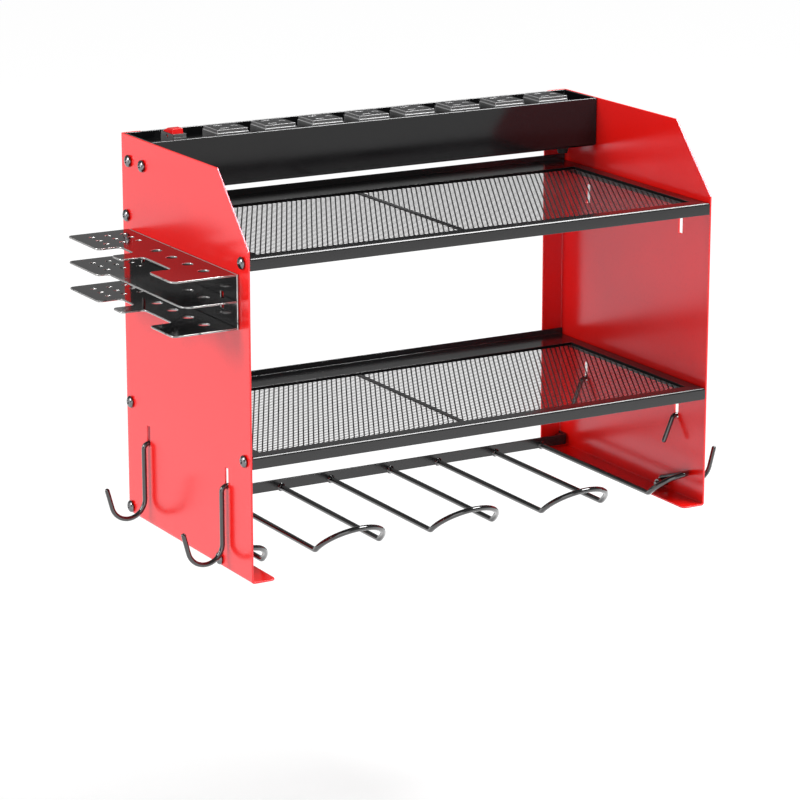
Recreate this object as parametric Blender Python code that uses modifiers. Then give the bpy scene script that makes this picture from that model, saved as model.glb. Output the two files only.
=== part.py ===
"""A wall mounted power tool organizer: two folded side panels, two mesh shelves, a tray that holds a power
strip, a wire holder for drills, wire hooks and a lift-off rack for hand tools.

Metres, +Z up. The wall is the plane y = 0, the front faces -Y, x = 0 is the middle and z = 0 the bottom.
"""

import math

import bmesh
import bpy
from mathutils import Matrix, Vector

# Driving sizes of the whole organizer
WIDTH = 0.430
DEPTH = 0.226
HEIGHT = 0.323
CHAMFER_DROP = 0.057
CHAMFER_RUN = 0.052
SHEET = 0.0015
BEND = 0.0008
GAP = 0.0003
OVERRUN = 0.002

# Side panels: folded flanges and the slots that hooks and rack hang in
FLANGE = 0.0215
FLANGE_CORNER = 0.0045
SLOT_WIDTH = 0.0055
SLOT_HEIGHT = 0.017
SLOT_INSET = 0.042
LOWER_SLOT_Z = 0.0675
UPPER_SLOT_DROP = 0.0953
WALL_HOLE_RADIUS = 0.0028
WALL_HOLE_INSET = 0.030

# Shelves: folded frames with a net under the opening
TOP_SHELF_CORNER_DROP = 0.005
MIDDLE_SHELF_Z = 0.103
SHELF_SHEET = 0.0012
SHELF_LIP = 0.010
SHELF_FRONT_FLANGE = 0.012
SHELF_SIDE_FLANGE = 0.012
SHELF_BACK_FLANGE = 0.0344
SHELF_HEM = 0.0028
SHELF_UPSTAND = 0.005
NET_SHEET = 0.0012
NET_BAR = 0.0014
NET_OVERLAP = 0.005
NET_COLUMNS = 18
NET_ROWS = 6
RIB_X = -0.014
RIB_WIDTH = 0.004
RIB_SHEET = 0.0015

# Tray under the panels' top edges
TRAY_DEPTH = 0.0514
TRAY_HEIGHT = 0.042

# Power strip inside the tray
STRIP_END_CLEARANCE = 0.0013
STRIP_FRONT_CLEARANCE = 0.0021
STRIP_TOP_DROP = 0.009
STRIP_SPLIT = 0.018
STRIP_WALL = 0.002
STRIP_EDGE = 0.0015
OUTLET_COUNT = 8
OUTLET_WIDTH = 0.029
OUTLET_DEPTH = 0.027
OUTLET_LEFT_MARGIN = 0.0706
OUTLET_RIGHT_MARGIN = 0.0321
OUTLET_FRONT_MARGIN = 0.0044
OUTLET_LOWER_RISE = 0.0092
OUTLET_UPPER_RISE = 0.0028
OUTLET_STEP = 0.0008
OUTLET_SINK = 0.015
OUTLET_EDGE = 0.0005
BLADE_SPACING = 0.0127
BLADE_LENGTH = 0.0072
BLADE_WIDTH = 0.0018
BLADE_SHIFT = -0.0040
EARTH_SHIFT = 0.0080
EARTH_RADIUS = 0.0025
CONTACT_DEPTH = 0.010
BAR_SHEET = 0.0008
BAR_HEIGHT = 0.008

# Rocker switch beside the outlets
SWITCH_INSET = 0.0228
BEZEL_SIDE_WALL = 0.0009
BEZEL_END_WALL = 0.0016
BEZEL_RIM_STEP = 0.0008
BEZEL_RIM = 0.0089
BEZEL_TIER = 0.0028
BEZEL_BODY_WALL = 0.0007
BEZEL_BODY_DEPTH = 0.009
ROCKER_WIDTH = 0.0096
ROCKER_LENGTH = 0.017
ROCKER_TILT = math.radians(11)
ROCKER_END_RISE = 0.005
ROCKER_END_DROP = 0.0014
ROCKER_KEEL = 0.004
ROCKER_KEEL_HALF = 0.0035
ROCKER_PIN_RADIUS = 0.001
ROCKER_PIN_REACH = 0.0006
ROCKER_END_SLACK = 0.0012

# Cord inlet through the strip's and the tray's floors; the cord itself is not part of the shape
INLET_RADIUS = 0.0057
INLET_BORE = 0.0026
INLET_FLANGE_RADIUS = 0.008
INLET_FLANGE = 0.0015
INLET_TAIL = 0.009
INLET_TAIL_RADIUS = 0.0044

# Drill holder: wire loops in front of a rear bar
LOOP_COUNT = 3
LOOP_WIRE = 0.0023
LOOP_HALF_WIDTH = 0.0295
LOOP_LEG_Z = 0.005
LOOP_BEND_INSET = 0.0402
LOOP_TILT = math.radians(40)
LOOP_BEND_RADIUS = 0.006
LOOP_END_RADIUS = 0.0045
LOOP_END_TURN_SHARE = 0.62
LOOP_END_STEPS = 4
REAR_BAR_Y = -0.014
REAR_BAR_SHEET = 0.002
REAR_BAR_HEIGHT = 0.0094
REAR_BAR_BEND = 0.003

# Wire hooks in the lower slots
HOOK_WIRE = 0.002
HOOK_SEAT = 0.0005
HOOK_BEND = 0.0045
HOOK_LEG_END_Z = 0.023
HOOK_ARC_RADIUS = 0.0152
HOOK_TIP_Z = 0.0365
HOOK_TIP_LEAN = math.radians(15)
HOOK_TAIL = 0.025
HOOK_TAIL_LEAN = math.radians(23)

# Lift-off rack on the left panel
RACK_INSET = 0.016
RACK_SHEET = 0.0015
RACK_TOP_RISE = 0.0183
RACK_UPPER_SPACING = 0.021
RACK_LOWER_SPACING = 0.0215
RACK_REACH = 0.057
RACK_MIDDLE_STEP = 0.0095
RACK_CORNER = 0.005
RACK_MIDDLE_CORNER = 0.008
RACK_TAB_SHEET = 0.002
RACK_TAB_DROP = 0.0085
RACK_WINDOW_HEIGHT = 0.0132
DRIVER_REACH = 0.0185
DRIVER_FIRST_SHARE = 0.124
DRIVER_PITCH_SHARE = 0.144
DRIVER_COUNT = 4
DRIVER_RADIUS = 0.0045
NOTCH_DEPTH = 0.020
FIRST_NOTCH_SHARE = 0.345
FIRST_NOTCH_WIDTH_SHARE = 0.258
SECOND_NOTCH_SHARE = 0.634
SECOND_NOTCH_WIDTH_SHARE = 0.134
NOTCH_CORNER = 0.004
BIT_REACH = 0.014
BIT_PITCH = 0.014
BIT_FIRST_SHARE = 0.773
BIT_ROW_SHARE = 0.072
BIT_COLUMNS = 3
BIT_ROWS = 3
BIT_RADIUS = 0.0026

# Fasteners
SCREW_RADIUS = 0.0025
SCREW_HEAD_RADIUS = 0.005
SCREW_HEAD_HEIGHT = 0.0032
SCREW_DOME_SHARE = 0.45
SOCKET_RADIUS = 0.0016
SOCKET_DEPTH = 0.0016
SHORT_SCREW = 0.008
LONG_SCREW = 0.013
NUT_ACROSS_FLATS = 0.008
NUT_HEIGHT = 0.004
FRONT_SCREW_INSET = 0.010
BACK_SCREW_Y = -0.010
BOTTOM_SCREW_Z = 0.0065
BOTTOM_FRONT_SCREW_SETBACK = 0.0148
BOTTOM_BACK_SCREW_Y = -0.0068
TRAY_SCREW_DROP = 0.021
TRAY_SCREW_INSET = 0.013

# Facets of the round forms
ARC_STEP = math.radians(22.5)
ROUND_PROFILE_SHARE = 0.5
TURNED_STEPS = 12
HOLE_SIDES = 12
SMOOTH_ANGLE = math.radians(35)
TINY = 0.000001

# Finishes: colour, roughness, metallic
RED_PAINT = ((0.62, 0.004, 0.004), 0.28, 0.0)
BLACK_PAINT = ((0.012, 0.012, 0.013), 0.30, 0.0)
BLACK_WIRE = ((0.010, 0.010, 0.011), 0.22, 0.0)
BLACK_PLASTIC = ((0.016, 0.016, 0.017), 0.42, 0.0)
RED_PLASTIC = ((0.75, 0.006, 0.006), 0.30, 0.0)
RUBBER = ((0.010, 0.010, 0.010), 0.70, 0.0)
BRASS = ((0.70, 0.46, 0.17), 0.30, 1.0)
ZINC = ((0.10, 0.10, 0.11), 0.28, 1.0)

HALF = WIDTH / 2
INNER = HALF - SHEET
BACK_Y = -(SHEET + BEND + GAP)
SLOT_FRONT_Y = SLOT_INSET - DEPTH
SLOT_BACK_Y = -SLOT_INSET
UPPER_SLOT_Z = HEIGHT - UPPER_SLOT_DROP
TOP_SHELF_Z = HEIGHT - CHAMFER_DROP - TOP_SHELF_CORNER_DROP
STRIP_HALF = HALF + GAP - SHORT_SCREW - STRIP_END_CLEARANCE
STRIP_BACK_Y = BACK_Y - SHEET - GAP
STRIP_FRONT_Y = BACK_Y - TRAY_DEPTH + SHEET + STRIP_FRONT_CLEARANCE
OUTLET_Y = STRIP_FRONT_Y + OUTLET_FRONT_MARGIN + OUTLET_DEPTH / 2
BEZEL_HALF_WIDTH = ROCKER_WIDTH / 2 + GAP + BEZEL_SIDE_WALL
BEZEL_UPPER_HALF_LENGTH = ROCKER_LENGTH / 2 + ROCKER_END_SLACK + BEZEL_END_WALL
BEZEL_HALF_LENGTH = BEZEL_UPPER_HALF_LENGTH + BEZEL_RIM_STEP
SWITCH_X = SWITCH_INSET - STRIP_HALF
SWITCH_Y = STRIP_FRONT_Y + OUTLET_FRONT_MARGIN + BEZEL_HALF_LENGTH
INLET_X = STRIP_HALF - STRIP_WALL - GAP - INLET_FLANGE_RADIUS
LOOP_PITCH = WIDTH / (LOOP_COUNT + 1)
LOOP_BEND_Y = LOOP_BEND_INSET - DEPTH
BOTTOM_FRONT_SCREW_Y = LOOP_BEND_Y + BOTTOM_FRONT_SCREW_SETBACK
RACK_FRONT_Y = RACK_INSET - DEPTH
RACK_BACK_Y = -RACK_INSET
RACK_LENGTH = RACK_BACK_Y - RACK_FRONT_Y
RACK_TOP_Z = UPPER_SLOT_Z + RACK_TOP_RISE
RACK_MIDDLE_Z = RACK_TOP_Z - RACK_UPPER_SPACING
RACK_BOTTOM_Z = RACK_MIDDLE_Z - RACK_LOWER_SPACING
RACK_OUTER_X = -HALF - RACK_REACH
LEFT, RIGHT = -1, 1
SIDES = {"left": LEFT, "right": RIGHT}


def clear_scene():
    """Removes every object, so that the model starts empty."""
    for obj in list(bpy.data.objects):
        bpy.data.objects.remove(obj)


def make_collection(name):
    collection = bpy.data.collections.new(name)
    bpy.context.scene.collection.children.link(collection)
    return collection


clear_scene()
PARTS = make_collection("wall_mounted_power_tool_organizer")
CUTTERS = make_collection("cutters")


# Helpers


def finish_material(obj, finish):
    """Gives an object its own material with the finish's colour, roughness and metallic value."""
    colour, roughness, metallic = finish
    material = bpy.data.materials.new(obj.name)
    material.use_nodes = True
    shader = material.node_tree.nodes["Principled BSDF"]
    shader.inputs["Base Color"].default_value = (*colour, 1)
    shader.inputs["Roughness"].default_value = roughness
    shader.inputs["Metallic"].default_value = metallic
    if obj.material_slots:
        obj.material_slots[0].link = "OBJECT"
        obj.material_slots[0].material = material
    else:
        obj.data.materials.append(material)


def add_object(name, data, finish, location=(0, 0, 0), rotation=(0, 0, 0)):
    """Places a part. A part without a finish is a cutter and stays out of the render."""
    obj = bpy.data.objects.new(name, data)
    obj.location = location
    obj.rotation_euler = rotation
    if finish is None:
        CUTTERS.objects.link(obj)
        obj.hide_render = True
        obj.display_type = "WIRE"
    else:
        PARTS.objects.link(obj)
        finish_material(obj, finish)
    return obj


def add_box(bm, low, high):
    """Adds a box between two corners, given in any order."""
    low, high = Vector(map(min, low, high)), Vector(map(max, low, high))
    size = high - low
    matrix = Matrix.Translation((low + high) / 2) @ Matrix.Diagonal((*size, 1))
    bmesh.ops.create_cube(bm, size=1, matrix=matrix)


def add_rod(bm, start, end, radius, sides=HOLE_SIDES):
    """Adds a capped cylinder between two points."""
    start, end = Vector(start), Vector(end)
    turn = (end - start).to_track_quat("Z", "Y").to_matrix().to_4x4()
    matrix = Matrix.Translation((start + end) / 2) @ turn
    depth = (end - start).length
    bmesh.ops.create_cone(
        bm, cap_ends=True, segments=sides, radius1=radius, radius2=radius, depth=depth, matrix=matrix
    )


def round_edges(bm, places, radius, segments=3):
    """Bevels the edges that lie at the given places, each a dict of axis to coordinate."""
    chosen = []
    for edge in bm.edges:
        for place in places:
            if all(abs(v.co[axis] - value) < TINY for v in edge.verts for axis, value in place.items()):
                chosen.append(edge)
    profile = ROUND_PROFILE_SHARE
    bmesh.ops.bevel(bm, geom=chosen, offset=radius, segments=segments, affect="EDGES", profile=profile)


def mesh_part(name, bm, finish, location=(0, 0, 0), rotation=(0, 0, 0)):
    """Turns a bmesh in world coordinates into an object whose origin is at the location."""
    if any(location):
        bmesh.ops.translate(bm, vec=-Vector(location), verts=bm.verts)
    mesh = bpy.data.meshes.new(name)
    bm.to_mesh(mesh)
    bm.free()
    return add_object(name, mesh, finish, location, rotation)


def boolean(obj, cutter, operation="DIFFERENCE"):
    modifier = obj.modifiers.new(cutter.name, "BOOLEAN")
    modifier.operation = operation
    modifier.object = cutter


def cut_boxes(obj, name, boxes):
    """Cuts boxes that don't touch each other out of a part."""
    bm = bmesh.new()
    for low, high in boxes:
        add_box(bm, low, high)
    boolean(obj, mesh_part(name, bm, None))


def cut_rods(obj, name, rods):
    """Cuts round holes that don't touch each other out of a part; each is a start, an end and a radius."""
    bm = bmesh.new()
    for start, end, radius in rods:
        add_rod(bm, start, end, radius)
    boolean(obj, mesh_part(name, bm, None))


def evaluated_mesh(obj):
    """The shape of an object with its modifiers, welded and closed, as a new mesh."""
    graph = bpy.context.evaluated_depsgraph_get()
    mesh = bpy.data.meshes.new_from_object(obj.evaluated_get(graph))
    bm = bmesh.new()
    bm.from_mesh(mesh)
    bmesh.ops.remove_doubles(bm, verts=bm.verts, dist=TINY)
    bmesh.ops.dissolve_degenerate(bm, edges=bm.edges, dist=TINY)
    bm.to_mesh(mesh)
    bm.free()
    mesh.materials.clear()
    return mesh


def shade_round(mesh):
    mesh.shade_smooth()
    mesh.set_sharp_from_angle(angle=SMOOTH_ANGLE)


def arc_points(centre, radius, start, end):
    """Points on an arc in a plane, from one angle to another."""
    count = max(2, math.ceil(abs(end - start) / ARC_STEP))
    angles = [start + (end - start) * i / count for i in range(count + 1)]
    return [(centre[0] + radius * math.cos(a), centre[1] + radius * math.sin(a)) for a in angles]


def circle_points(centre, radius, sides=HOLE_SIDES):
    angles = [math.tau * i / sides for i in range(sides)]
    return [(centre[0] + radius * math.cos(a), centre[1] + radius * math.sin(a)) for a in angles]


def rounded_corner(before, corner, after, radius):
    """The arc that rounds a corner between two straight runs, as points."""
    before, corner, after = Vector(before), Vector(corner), Vector(after)
    into = (corner - before).normalized()
    out = (after - corner).normalized()
    turn = into.angle(out)
    if radius <= 0 or turn < TINY:
        return [corner]
    start = corner - into * radius * math.tan(turn / 2)
    axis = into.cross(out).normalized()
    centre = start + axis.cross(into) * radius
    count = max(2, math.ceil(turn / ARC_STEP))
    steps = [Matrix.Rotation(turn * i / count, 3, axis) for i in range(count + 1)]
    return [centre + step @ (start - centre) for step in steps]


def rounded_path(points, radius):
    """An open line whose inner corners are rounded."""
    path = [Vector(points[0])]
    for before, corner, after in zip(points, points[1:], points[2:]):
        path += rounded_corner(before, corner, after, radius)
    return path + [Vector(points[-1])]


def rounded_outline(corners):
    """A closed outline from corners of two coordinates and a radius."""
    count = len(corners)
    outline = []
    for i, (across, along, radius) in enumerate(corners):
        before, after = corners[i - 1], corners[(i + 1) % count]
        flat = [(*before[:2], 0), (across, along, 0), (*after[:2], 0)]
        outline += [tuple(p[:2]) for p in rounded_corner(*flat, radius)]
    return outline


PLANE_TURNS = {
    "XY": (0, 0, 0),
    "YZ": (math.pi / 2, 0, math.pi / 2),
    "XZ": (math.pi / 2, 0, 0),
}


def flat_part(name, loops, plane, place, thickness, finish):
    """A flat shape: outlines in a plane, filled and given a thickness about the plane's place."""
    curve = bpy.data.curves.new(name, "CURVE")
    curve.dimensions = "2D"
    curve.fill_mode = "BOTH"
    curve.extrude = thickness / 2
    for loop in loops:
        spline = curve.splines.new("POLY")
        spline.points.add(len(loop) - 1)
        spline.use_cyclic_u = True
        for point, (across, along) in zip(spline.points, loop):
            point.co = (across, along, 0, 1)
    location = {"XY": (0, 0, place), "YZ": (place, 0, 0), "XZ": (0, place, 0)}[plane]
    return add_object(name, curve, finish, location, PLANE_TURNS[plane])


def solid_flat_part(name, loops, plane, place, thickness, finish):
    """A flat shape as a welded mesh, which can be cut or be a cutter."""
    guide = flat_part(name + "_outline", loops, plane, place, thickness, None)
    bpy.context.view_layer.update()
    obj = add_object(name, evaluated_mesh(guide), finish)
    obj.matrix_world = guide.matrix_world
    bpy.data.objects.remove(guide)
    return obj


def wire_part(name, points, radius, finish, location=(0, 0, 0)):
    """A round wire along points that are relative to its location."""
    curve = bpy.data.curves.new(name, "CURVE")
    curve.dimensions = "3D"
    curve.bevel_depth = radius
    curve.bevel_resolution = 2
    curve.use_fill_caps = True
    spline = curve.splines.new("POLY")
    spline.points.add(len(points) - 1)
    for point, place in zip(spline.points, points):
        point.co = (*place, 1)
    return add_object(name, curve, finish, location)


def turned_mesh(name, profile, closed=False):
    """A mesh turned about Z from a profile of radius and height that runs down its outer side."""
    bm = bmesh.new()
    verts = [bm.verts.new((radius, 0, height)) for radius, height in profile]
    for first, second in zip(verts, verts[1:]):
        bm.edges.new((first, second))
    if closed:
        bm.edges.new((verts[-1], verts[0]))
    guide = mesh_part(name + "_profile", bm, None)
    screw = guide.modifiers.new("turn", "SCREW")
    screw.steps = TURNED_STEPS
    screw.render_steps = TURNED_STEPS
    screw.use_merge_vertices = True
    screw.merge_threshold = TINY
    bpy.context.view_layer.update()
    mesh = evaluated_mesh(guide)
    bpy.data.objects.remove(guide)
    shade_round(mesh)
    return mesh


# Side panels


def chamfer_cutter():
    """The wedge that takes the sloping corner off both panels."""
    start = Vector((-DEPTH, HEIGHT - CHAMFER_DROP))
    slope = Vector((CHAMFER_RUN, CHAMFER_DROP)).normalized()
    low = start - slope * OVERRUN
    high = start + Vector((CHAMFER_RUN, CHAMFER_DROP)) + slope * OVERRUN
    outline = [tuple(low), tuple(high), (low.x, high.y)]
    return solid_flat_part("chamfer_cutter", [outline], "YZ", 0, WIDTH + OVERRUN, None)


def slot_boxes(side):
    across = (side * (HALF + OVERRUN), side * (INNER - OVERRUN))
    boxes = []
    for y in (SLOT_FRONT_Y, SLOT_BACK_Y):
        for z in (LOWER_SLOT_Z, UPPER_SLOT_Z):
            low = (across[0], y - SLOT_WIDTH / 2, z)
            boxes.append((low, (across[1], y + SLOT_WIDTH / 2, z + SLOT_HEIGHT)))
    return boxes


def side_screw_places():
    """The screws through each panel: name, y, z and shank length."""
    front, back = -DEPTH + FRONT_SCREW_INSET, BACK_SCREW_Y
    tray_z = HEIGHT - TRAY_SCREW_DROP
    tray_front = BACK_Y - TRAY_DEPTH + TRAY_SCREW_INSET
    return [
        ("top_shelf_front", front, TOP_SHELF_Z - SHELF_LIP / 2, SHORT_SCREW),
        ("top_shelf_back", back, TOP_SHELF_Z - SHELF_LIP / 2, SHORT_SCREW),
        ("middle_shelf_front", front, MIDDLE_SHELF_Z - SHELF_LIP / 2, SHORT_SCREW),
        ("middle_shelf_back", back, MIDDLE_SHELF_Z - SHELF_LIP / 2, SHORT_SCREW),
        ("tray_front", tray_front, tray_z, SHORT_SCREW),
        ("tray_back", BACK_Y - TRAY_SCREW_INSET, tray_z, SHORT_SCREW),
        ("drill_holder_front", BOTTOM_FRONT_SCREW_Y, BOTTOM_SCREW_Z, LONG_SCREW),
        ("drill_holder_back", BOTTOM_BACK_SCREW_Y, BOTTOM_SCREW_Z, SHORT_SCREW),
    ]


def screw_holes(side, inside):
    """Clearance holes for a panel's screws, from outside the panel to the given distance from the middle."""
    holes = []
    for _, y, z, _ in side_screw_places():
        holes.append(((side * (HALF + OVERRUN), y, z), (side * inside, y, z), SCREW_RADIUS + GAP))
    return holes


def side_panel(name, side, chamfer):
    bm = bmesh.new()
    add_box(bm, (side * HALF, 0, 0), (side * (HALF - FLANGE), -DEPTH, HEIGHT))
    inner_x = side * (HALF - FLANGE)
    round_edges(bm, [{0: side * HALF, 2: 0}, {0: side * HALF, 1: 0}, {1: 0, 2: 0}], SHEET + BEND)
    round_edges(bm, [{0: inner_x, 1: -DEPTH}, {0: inner_x, 2: HEIGHT}], FLANGE_CORNER)
    panel = mesh_part(name, bm, RED_PAINT)
    hollow = bmesh.new()
    corner = (side * INNER, -SHEET, SHEET)
    far = (side * (HALF - FLANGE - OVERRUN), -DEPTH - OVERRUN, HEIGHT + OVERRUN)
    add_box(hollow, corner, far)
    round_edges(hollow, [{0: corner[0], 2: SHEET}, {0: corner[0], 1: -SHEET}, {1: -SHEET, 2: SHEET}], BEND)
    boolean(panel, mesh_part(name + "_hollow", hollow, None))
    boolean(panel, chamfer)
    cut_boxes(panel, name + "_slots", slot_boxes(side))
    wall_x = side * (HALF - FLANGE / 2)
    wall_holes = [
        ((wall_x, OVERRUN, z), (wall_x, -SHEET - OVERRUN, z), WALL_HOLE_RADIUS)
        for z in (WALL_HOLE_INSET, HEIGHT - WALL_HOLE_INSET)
    ]
    cut_rods(panel, name + "_holes", screw_holes(side, INNER - OVERRUN) + wall_holes)
    return panel


# Shelves


def shelf_opening():
    """The corners of a shelf's opening, front left and back right."""
    across = INNER - GAP - SHELF_SIDE_FLANGE
    return (-across, -DEPTH + SHELF_FRONT_FLANGE), (across, BACK_Y - SHELF_BACK_FLANGE)


def shelf_frame(name, top):
    """A folded frame: lips down at the front and sides, an upstand at the wall, a hem around the opening."""
    half = INNER - GAP
    front, back = -DEPTH, BACK_Y
    bm = bmesh.new()
    add_box(bm, (-half, front, top - SHELF_LIP), (half, back, top))
    edges = [{1: front, 2: top}, {0: -half, 2: top}, {0: half, 2: top}]
    round_edges(bm, edges, SHELF_SHEET + BEND)
    frame = mesh_part(name, bm, BLACK_PAINT)
    (left, near), (right, far) = shelf_opening()
    under = top - SHELF_HEM
    inside = half - SHELF_SHEET
    cut_boxes(
        frame,
        name + "_underside",
        [((-inside, front + SHELF_SHEET, top - SHELF_LIP - OVERRUN), (inside, back + OVERRUN, under))],
    )
    below = under - SHELF_SHEET
    skin = top - SHELF_SHEET
    ring = [
        ((-inside, front + SHELF_SHEET, below), (inside, near - SHELF_SHEET, skin)),
        ((-inside, far + SHELF_SHEET, below), (inside, back + OVERRUN, skin)),
    ]
    cut_boxes(frame, name + "_front_and_back_channels", ring)
    sides = [
        ((-inside, near - 2 * SHELF_SHEET, below), (left - SHELF_SHEET, far + 2 * SHELF_SHEET, skin)),
        ((right + SHELF_SHEET, near - 2 * SHELF_SHEET, below), (inside, far + 2 * SHELF_SHEET, skin)),
    ]
    cut_boxes(frame, name + "_side_channels", sides)
    opening = [((left, near, below), (right, far, top + OVERRUN))]
    cut_boxes(frame, name + "_opening", opening)
    rise = bmesh.new()
    add_box(rise, (-half, back - SHELF_SHEET, top - SHELF_SHEET / 2), (half, back, top + SHELF_UPSTAND))
    boolean(frame, mesh_part(name + "_upstand", rise, None), "UNION")
    holes = [hole for side in SIDES.values() for hole in screw_holes(side, inside - OVERRUN)]
    cut_rods(frame, name + "_holes", [hole for hole in holes if abs(hole[0][2] - top) < SHELF_LIP])
    return frame


def shelf_net(name, top):
    """A flat net of bars: a grid whose lines alternate between bar and gap, with the gaps removed."""
    (left, near), (right, far) = shelf_opening()
    low = (left - NET_OVERLAP, near - NET_OVERLAP + SHELF_SHEET)
    high = (right + NET_OVERLAP, far + NET_OVERLAP)
    bm = bmesh.new()
    columns, rows = 2 * NET_COLUMNS + 1, 2 * NET_ROWS + 1
    bmesh.ops.create_grid(bm, x_segments=columns, y_segments=rows, size=1)
    places = []
    for start, end, count in ((low[0], high[0], NET_COLUMNS), (low[1], high[1], NET_ROWS)):
        hole = (end - start - (count + 1) * NET_BAR) / count
        lines = [start]
        for i in range(2 * count + 1):
            lines.append(lines[-1] + (hole if i % 2 else NET_BAR))
        places.append(lines)
    for vert in bm.verts:
        column = round((vert.co.x + 1) / 2 * columns)
        row = round((vert.co.y + 1) / 2 * rows)
        vert.co.x = places[0][column]
        vert.co.y = places[1][row]
        vert.co.z = 0
    gaps = []
    for face in bm.faces:
        centre = face.calc_center_median()
        column = sum(line < centre.x for line in places[0]) - 1
        row = sum(line < centre.y for line in places[1]) - 1
        if column % 2 and row % 2:
            gaps.append(face)
    bmesh.ops.delete(bm, geom=gaps, context="FACES")
    location = (0, 0, top - SHELF_HEM - GAP)
    mesh = bpy.data.meshes.new(name)
    bm.to_mesh(mesh)
    bm.free()
    net = add_object(name, mesh, BLACK_WIRE, location)
    thickness = net.modifiers.new("thickness", "SOLIDIFY")
    thickness.thickness = NET_SHEET
    thickness.offset = -1
    return net


def shelf_rib(name, top):
    (_, near), (_, far) = shelf_opening()
    bm = bmesh.new()
    low = (RIB_X - RIB_WIDTH / 2, near + GAP, top - SHELF_HEM)
    add_box(bm, low, (RIB_X + RIB_WIDTH / 2, far - GAP, top - SHELF_HEM + RIB_SHEET))
    return mesh_part(name, bm, BLACK_PAINT)


# Tray and power strip


def tray_box():
    """The tray's outer corners."""
    half = INNER - GAP
    return (-half, BACK_Y - TRAY_DEPTH, HEIGHT - TRAY_HEIGHT), (half, BACK_Y, HEIGHT)


def inlet_hole(bottom, top):
    return ((INLET_X, strip_middle_y(), bottom), (INLET_X, strip_middle_y(), top), INLET_RADIUS + GAP)


def strip_middle_y():
    return (STRIP_BACK_Y + STRIP_FRONT_Y) / 2


def strip_tray():
    low, high = tray_box()
    bm = bmesh.new()
    add_box(bm, low, high)
    edges = [{1: y, 2: low[2]} for y in (low[1], high[1])] + [{0: x, 2: low[2]} for x in (low[0], high[0])]
    round_edges(bm, edges, SHEET + BEND)
    tray = mesh_part("power_strip_tray", bm, BLACK_PAINT)
    floor = (low[0] + SHEET, low[1] + SHEET, low[2] + SHEET)
    mouth = (high[0] - SHEET, high[1] - SHEET, high[2] + OVERRUN)
    cut_boxes(tray, "power_strip_tray_inside", [(floor, mouth)])
    holes = [hole for side in SIDES.values() for hole in screw_holes(side, INNER - SHEET - OVERRUN)]
    holes = [hole for hole in holes if hole[0][2] > low[2]]
    holes.append(inlet_hole(low[2] - OVERRUN, floor[2] + OVERRUN))
    cut_rods(tray, "power_strip_tray_holes", holes)
    return tray


def strip_levels():
    """The heights of the strip's floor, of the split between base and cover, and of its top."""
    floor = HEIGHT - TRAY_HEIGHT + SHEET + GAP
    return floor, floor + STRIP_SPLIT, HEIGHT - STRIP_TOP_DROP


def strip_base():
    floor, split, _ = strip_levels()
    half, front, back = STRIP_HALF, STRIP_FRONT_Y, STRIP_BACK_Y
    bm = bmesh.new()
    add_box(bm, (-half, front, floor), (half, back, split))
    round_edges(bm, [{0: x, 1: y} for x in (-half, half) for y in (front, back)], STRIP_EDGE, 2)
    base = mesh_part("power_strip_base", bm, BLACK_PLASTIC)
    wall = STRIP_WALL
    inside = ((-half + wall, front + wall, floor + wall), (half - wall, back - wall, split + OVERRUN))
    cut_boxes(base, "power_strip_base_inside", [inside])
    cut_rods(base, "power_strip_base_hole", [inlet_hole(floor - OVERRUN, floor + wall + OVERRUN)])
    return base


def outlet_places():
    """The middles of the outlet blocks, spread evenly between the strip's two end margins."""
    first, last = OUTLET_LEFT_MARGIN - STRIP_HALF, STRIP_HALF - OUTLET_RIGHT_MARGIN
    return [first + (last - first) * i / (OUTLET_COUNT - 1) for i in range(OUTLET_COUNT)]


def strip_cover():
    _, split, top = strip_levels()
    half, front, back = STRIP_HALF, STRIP_FRONT_Y, STRIP_BACK_Y
    wall = STRIP_WALL
    bm = bmesh.new()
    add_box(bm, (-half, front, split + GAP), (half, back, top))
    upright = [{0: x, 1: y} for x in (-half, half) for y in (front, back)]
    crown = [{1: front, 2: top}, {1: back, 2: top}, {0: -half, 2: top}, {0: half, 2: top}]
    round_edges(bm, upright + crown, STRIP_EDGE, 2)
    cover = mesh_part("power_strip_cover", bm, BLACK_PLASTIC)
    inside = ((-half + wall, front + wall, split - OVERRUN), (half - wall, back - wall, top - wall))
    cut_boxes(cover, "power_strip_cover_inside", [inside])
    across, along = OUTLET_WIDTH / 2 + GAP, OUTLET_DEPTH / 2 + GAP
    openings = [
        ((x - across, OUTLET_Y - along, top - wall - OVERRUN), (x + across, OUTLET_Y + along, top + OVERRUN))
        for x in outlet_places()
    ]
    across, along = [half + GAP for half in bezel_body_half()]
    low = (SWITCH_X - across, SWITCH_Y - along, top - wall - OVERRUN)
    openings.append((low, (SWITCH_X + across, SWITCH_Y + along, top + OVERRUN)))
    cut_boxes(cover, "power_strip_cover_openings", openings)
    return cover


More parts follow.
